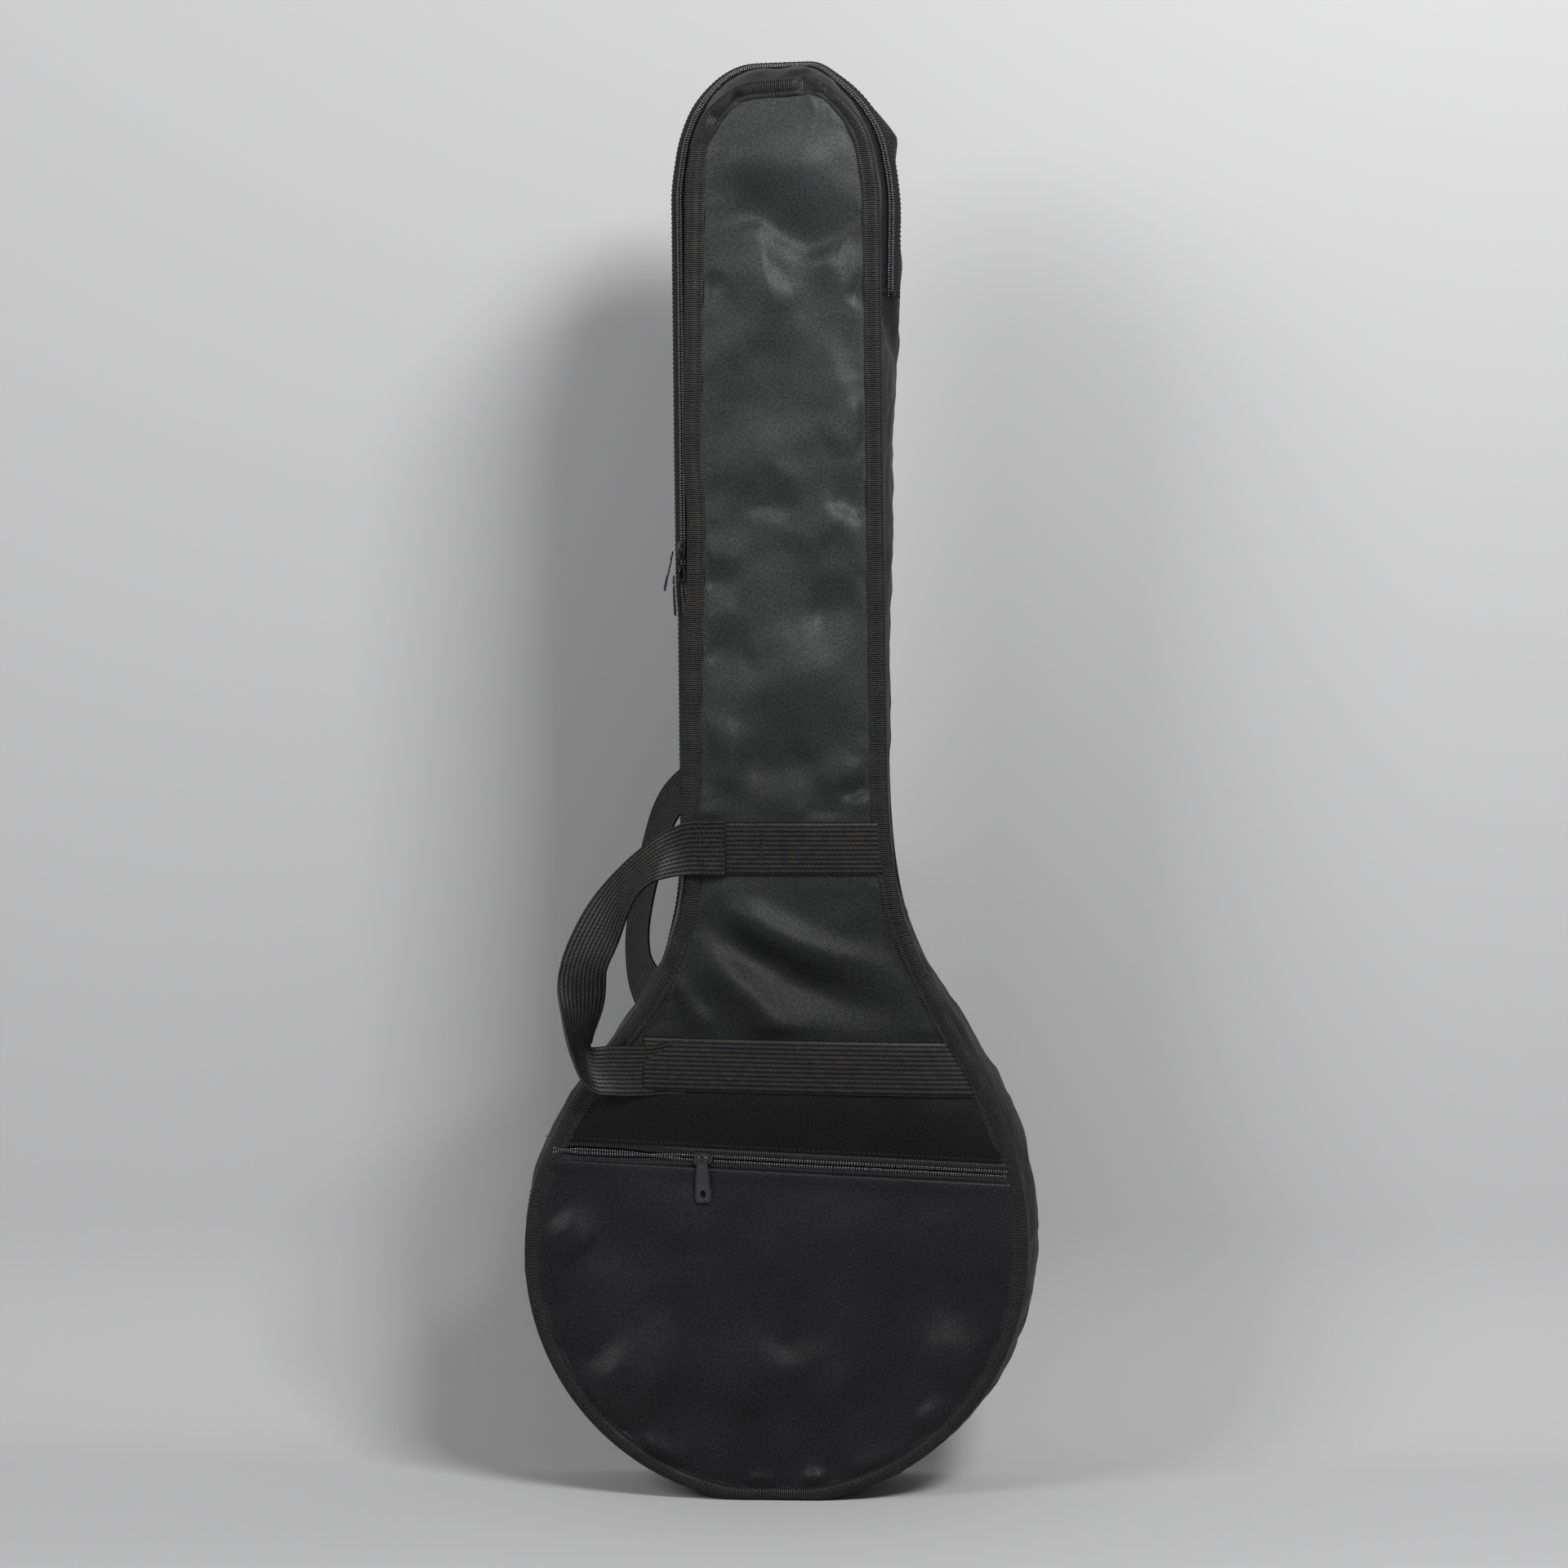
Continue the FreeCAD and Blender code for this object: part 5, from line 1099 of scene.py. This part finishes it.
outer_sr = ((-20, -8), (-21, 20), (-21, 45), (-17, 61), (4, 82), (34, 92), (80, 95), (125, 86), (158, 62),
            (176, 32), (179, 10), (179, -8))
inner_sr = ((18, -8), (18, 12), (18, 22), (22, 34), (32, 46), (50, 54), (80, 57), (112, 52), (131, 40),
            (139, 24), (141, 10), (141, -8))
back_outer = [back_spot(s, r, 0.0) for s, r in outer_sr]
back_inner = [back_spot(s, r, 0.0) for s, r in inner_sr]
ribbon("back_loop", back_outer, back_inner,
       "back_handle")


def stitch_box(name, corners, depth, off):
    """A closed line of stitches through the front webbing, off in front of the level under it."""
    for index, (start, end) in enumerate(zip(corners, corners[1:] + corners[:1])):
        share = np.linspace(0, 1, 24)[:, None]
        flat = np.array(start) + (np.array(end) - np.array(start)) * share
        y = depth(flat[:, 0], flat[:, 1]) - off
        line = at_depth(flat, y)
        stitches(f"{name}_{index}", line, np.tile([0, -1.0, 0], (24, 1)), 3.0, 2.0, "webbing")


def loop_level(x, z):
    """The upper face of the loop's sewn ends."""
    return np.full_like(x, -57.6)


for label, (x, z) in (("upper", (-37.0, 464.0)), ("lower", (-59.0, 309.0))):
    corners = [(x - 2.5, z - 16.5), (x - 2.5, z + 16.5), (x - 17, z + 16.5), (x - 17, z - 16.5)]
    stitch_box(f"front_{label}_box", corners, loop_level, 0.9)
stitch_box("front_upper_bar", [(-11.5, 447.5), (-11.5, 480.5), (-10.6, 480.5), (-10.6, 447.5)],
           front_depth, 2.2)


# Sliders and pulls
SHARP_ANGLE = 40


def shield(half_long, half_front, half_back, count=40, square=0.55):
    """A rounded outline, wider at its front end."""
    points = []
    for step in range(count):
        t = 2 * math.pi * step / count
        a = half_long * math.copysign(abs(math.cos(t)) ** square, math.cos(t))
        share = (a / half_long + 1) / 2
        wide = half_back + (half_front - half_back) * share
        points.append((a, wide * math.copysign(abs(math.sin(t)) ** square, math.sin(t))))
    return np.array(points)


def placed(frame_axes, points):
    origin, ahead, across, up = (np.asarray(v, float) for v in frame_axes)
    points = np.asarray(points, float)
    return origin + points[:, 0:1] * ahead + points[:, 1:2] * across + points[:, 2:3] * up


def ring_solid(name, frame_axes, rings, material, capped=True):
    """Rings of equal count joined into a closed solid; capped ends, or joined end to end round a hole."""
    count = len(rings[0])
    points = placed(frame_axes, np.vstack(rings))
    faces = []
    total = len(rings)
    for ring in range(total if not capped else total - 1):
        nxt = (ring + 1) % total
        for i in range(count):
            j = (i + 1) % count
            faces.append([ring * count + i, ring * count + j, nxt * count + j, nxt * count + i])
    if capped:
        faces.append(list(range(count))[::-1])
        faces.append([(total - 1) * count + i for i in range(count)])
    piece = make_object(name, points, faces, None, material)
    piece.data.set_sharp_from_angle(angle=math.radians(SHARP_ANGLE))
    return piece


def level_ring(outline_points, scale, height):
    flat = outline_points * scale
    return np.column_stack([flat, np.full(len(flat), height)])


# Each level of a slider's plates: share of its outline, height
SHELL_LEVELS = ((0.93, -0.9), (1.0, -0.6), (1.0, 1.4), (0.95, 1.9), (0.80, 2.15), (0.55, 2.2))
UNDERPLATE_LEVELS = ((0.94, -2.6), (1.0, -2.3), (1.0, -1.8), (0.94, -1.6))
# Each level of its nose: half-length, half-width in front and behind, height
NOSE_LEVELS = ((1.6, 3.2, 2.6, 1.9), (1.6, 3.0, 2.4, 2.7), (1.2, 2.5, 2.0, 2.9))
# The arch's cross-section in shares of its width, and in millimetres of height
ARCH_SECTION = ((-0.8, -0.5), (0.8, -0.5), (1, -0.3), (1, 0.3), (0.8, 0.5), (-0.8, 0.5), (-1, 0.3), (-1, -0.3))


def slider(name, frame_axes, body, node):
    """A coil slider: a shield plate with turned-down edges, a lower plate and an arch for its pull."""
    plate = shield(7.0, 5.0, 3.7)
    shell = [level_ring(plate, *level) for level in SHELL_LEVELS]
    keep(ring_solid(name, frame_axes, shell, lacquer), body, "zip_metal", node)
    under = [level_ring(plate * 0.96, *level) for level in UNDERPLATE_LEVELS]
    keep(ring_solid(name + "_underplate", frame_axes, under, lacquer), body, "zip_metal")
    steps = np.linspace(0, math.pi, 15)
    a = -4.3 * np.cos(steps)
    u = 1.9 + 2.7 * np.sin(steps) ** 0.6
    way_a, way_u = np.gradient(a), np.gradient(u)
    norm = np.hypot(way_a, way_u)
    rings = []
    for i in range(len(steps)):
        na, nu = -way_u[i] / norm[i], way_a[i] / norm[i]
        wide = 1.25 + 0.55 * abs(math.cos(steps[i]))
        rings.append([(a[i] + na * h, w * wide, u[i] + nu * h) for w, h in ARCH_SECTION])
    keep(ring_solid(name + "_arch", frame_axes, rings, lacquer), body, "zip_metal")
    nose = [level_ring(shield(*shape) + [4.6, 0], 1.0, height) for *shape, height in NOSE_LEVELS]
    keep(ring_solid(name + "_nose", frame_axes, nose, lacquer), body, "zip_metal")


def pull(name, frame_axes, long, half_top, half_low, body, node):
    """A tapered pull: raised rails, a sunk middle, an oval hole near its end and an eye at its top."""
    plate = shield((long - 4) / 2, half_low, half_top, 48, 0.42)
    middle = np.array([(long + 4) / 2, 0.0])

    def ring(inset, height):
        flat = plate.copy()
        flat[:, 0] *= 1 - inset / ((long - 4) / 2)
        flat[:, 1] *= 1 - inset / half_low
        return np.column_stack([flat + middle, np.full(len(flat), height)])

    turn = np.arctan2(plate[:, 1], plate[:, 0])
    hole = np.column_stack([np.cos(turn) * 2.9 + long - 6.0, np.sin(turn) * half_low * 0.36])

    def hole_ring(height):
        return np.column_stack([hole, np.full(len(hole), height)])

    rings = [ring(0.35, -0.75), ring(0.0, -0.45), ring(0.0, 0.45), ring(0.3, 0.75), ring(1.0, 0.75),
             ring(1.4, 0.25), hole_ring(0.25), hole_ring(-0.75)]
    keep(ring_solid(name, frame_axes, rings, gunmetal, capped=False), body, "pull_gunmetal", node)
    wide = min(half_top * 0.62, 2.6)
    path = [(5.2, -wide), (2.0, -wide), (0.4, -wide * 0.75), (-0.3, 0.0),
            (0.4, wide * 0.75), (2.0, wide), (5.2, wide)]
    path = curve_of(path, 26)
    way = unit_rows(np.gradient(path, axis=0))
    rings = []
    for (x, y), (dx, dy) in zip(path, way):
        rings.append([(x - dy * 0.62 * math.cos(t), y + dx * 0.62 * math.cos(t), 0.62 * math.sin(t))
                      for t in np.linspace(0, 2 * math.pi, 10, endpoint=False)])
    keep(ring_solid(name + "_eye", frame_axes, rings, gunmetal), body, "pull_gunmetal")


along_zip = np.array([1.0, 0, -POCKET_LEAN]) / math.hypot(1, POCKET_LEAN)
zip_up = np.array([0, -1.0, 0])
slider_at = np.array([SLIDER_X, -52.7, POCKET_Z - SLIDER_X * POCKET_LEAN])
slider("pocket_slider", (slider_at, -along_zip, np.cross(zip_up, -along_zip), zip_up),
       "pocket zip slider", "pocket_zip_slider")
hang = np.array([0.035, -0.03, -1.0])
hang /= np.linalg.norm(hang)
pull_side = np.cross(zip_up, hang)
pull_side /= np.linalg.norm(pull_side)
pull("pocket_pull", ((-53.6, -56.6, 249.4), hang, pull_side, np.cross(hang, pull_side)), 33.5, 4.2, 6.2,
     "pocket zip pull", "pocket_zip_pull")

for label, z, flip, pull_top, pull_end in (
        ("upper", BAG_TOP - 335.54, 1.0, (-77.0, 0, 683.2), (-83.0, 0, 655.0)),
        ("lower", BAG_TOP - 353.04, -1.0, (-76.2, 0, 665.6), (-76.4, 0, 637.0))):
    index = int(np.argmin(np.where(ZIP_LINE[:, 0] < 0, np.abs(ZIP_LINE[:, 2] - z), 1e9)))
    origin = ZIP_LINE[index] + CHAIN_OUT[index] * 0.3
    way = ZIP_LINE[index - 4] - ZIP_LINE[index + 4]
    way = way / np.linalg.norm(way) * flip
    up = CHAIN_OUT[index]
    slider(f"main_{label}_slider", (origin, way, np.cross(up, way), up),
           f"main zip {label} slider", f"main_zip_{label}_slider")
    top = np.array(pull_top) + np.array([CHAIN_DROP[zip_idx][index] * 0.4, 0, 0])
    hang = np.array(pull_end) - np.array(pull_top)
    long = np.linalg.norm(hang)
    hang = hang / long
    face = np.array([-1.0, 0, 0]) - hang * np.dot(np.array([-1.0, 0, 0]), hang)
    face /= np.linalg.norm(face)
    pull(f"main_{label}_pull", (top, hang, np.cross(face, hang), face), long, 2.8, 4.2,
         f"main zip {label} pull", f"main_zip_{label}_pull")


# Stage, camera and lights
def sweep_stage():
    """Floor and wall in metres, joined by a quarter round of 12 steps."""
    near, start, round_size, top = -1.3, 0.06, 0.16, 3.2
    profile = [(near, 0.0), (start, 0.0)]
    for step in range(1, 13):
        a = math.radians(90 * step / 12)
        profile.append((start + round_size * math.sin(a), round_size * (1 - math.cos(a))))
    profile.append((0.22, top))
    verts, faces = [], []
    for x in (-4.0, 4.0):
        verts += [(x * 1000, y * 1000, z * 1000) for y, z in profile]
    n = len(profile)
    for i in range(n - 1):
        faces.append((i, i + n, i + n + 1, i + 1))
    return verts, faces


p = Paint("studio_paper", 0.85)
x, y, z = p.split(p.place())
# The paper is painted lighter from the floor up the wall: painted light, standing in for how the lamps fall on it.
height = p.math("MULTIPLY", z, 0.8)
tone = p.blend(height, (0.585, 0.585, 0.59), (0.67, 0.67, 0.675))
grainy = p.noise(p.place(), 900.0, 2.0)
paper = p.finish(tone, p.bump(grainy, 0.00005, 0.2))
clear = p.node("ShaderNodeBsdfTransparent")
one_sided = p.node("ShaderNodeMixShader")
p.link(p.node("ShaderNodeNewGeometry").outputs["Backfacing"], one_sided.inputs[0])
p.link(p.shader.outputs[0], one_sided.inputs[1])
p.link(clear.outputs[0], one_sided.inputs[2])
p.link(one_sided.outputs[0], p.tree.nodes["Material Output"].inputs[0])
verts, faces = sweep_stage()
backdrop = make_object("backdrop", verts, faces, None, paper, soft=False)

scene = bpy.context.scene
scene.view_settings.view_transform = "Standard"
camera_data = bpy.data.cameras.new("camera")
camera = bpy.data.objects.new("camera", camera_data)
scene.collection.objects.link(camera)
scene.camera = camera
camera_data.sensor_width = 36
camera_data.lens = 88.2
camera_data.clip_end = 30
azimuth, elevation, far = math.radians(2.5), math.radians(2.0), 2.8
target = Vector((0.003, 0.0, 0.5145))
offset = Vector((math.sin(azimuth) * math.cos(elevation), -math.cos(azimuth) * math.cos(elevation),
                 math.sin(elevation))) * far
camera.location = target + offset
camera.rotation_euler = (-offset).to_track_quat("-Z", "Y").to_euler()


def area_light(name, place, size, tall, power):
    data = bpy.data.lights.new(name, "AREA")
    data.shape = "RECTANGLE"
    data.size = size
    data.size_y = tall
    data.energy = power
    light = bpy.data.objects.new(name, data)
    scene.collection.objects.link(light)
    light.location = place
    light.rotation_euler = (Vector(place) - LAMP_AIM).to_track_quat("Z", "Y").to_euler()


LAMP_AIM = Vector((0, 0, 0.7))
area_light("key_soft", (0.95, -1.5, 1.95), 0.7, 0.5, 39)
area_light("left_fill", (-1.9, -1.9, 1.9), 1.0, 1.2, 30)
world = bpy.data.worlds.new("world")
scene.world = world
world.use_nodes = True
tree = world.node_tree
background = tree.nodes["Background"]
background.inputs[0].default_value = (0.92, 0.95, 1.0, 1)
background.inputs[1].default_value = 0.08
seen = tree.nodes.new("ShaderNodeBackground")
seen.inputs[0].default_value = (0.34, 0.34, 0.345, 1)
seen.inputs[1].default_value = 1.0
rays = tree.nodes.new("ShaderNodeLightPath")
choice = tree.nodes.new("ShaderNodeMixShader")
held = rays.outputs["Is Camera Ray"]
for kind in ("Is Glossy Ray", "Is Transmission Ray"):
    either = tree.nodes.new("ShaderNodeMath")
    either.operation = "MAXIMUM"
    tree.links.new(held, either.inputs[0])
    tree.links.new(rays.outputs[kind], either.inputs[1])
    held = either.outputs[0]
tree.links.new(held, choice.inputs[0])
tree.links.new(background.outputs[0], choice.inputs[1])
tree.links.new(seen.outputs[0], choice.inputs[2])
tree.links.new(choice.outputs[0], tree.nodes["World Output"].inputs[0])
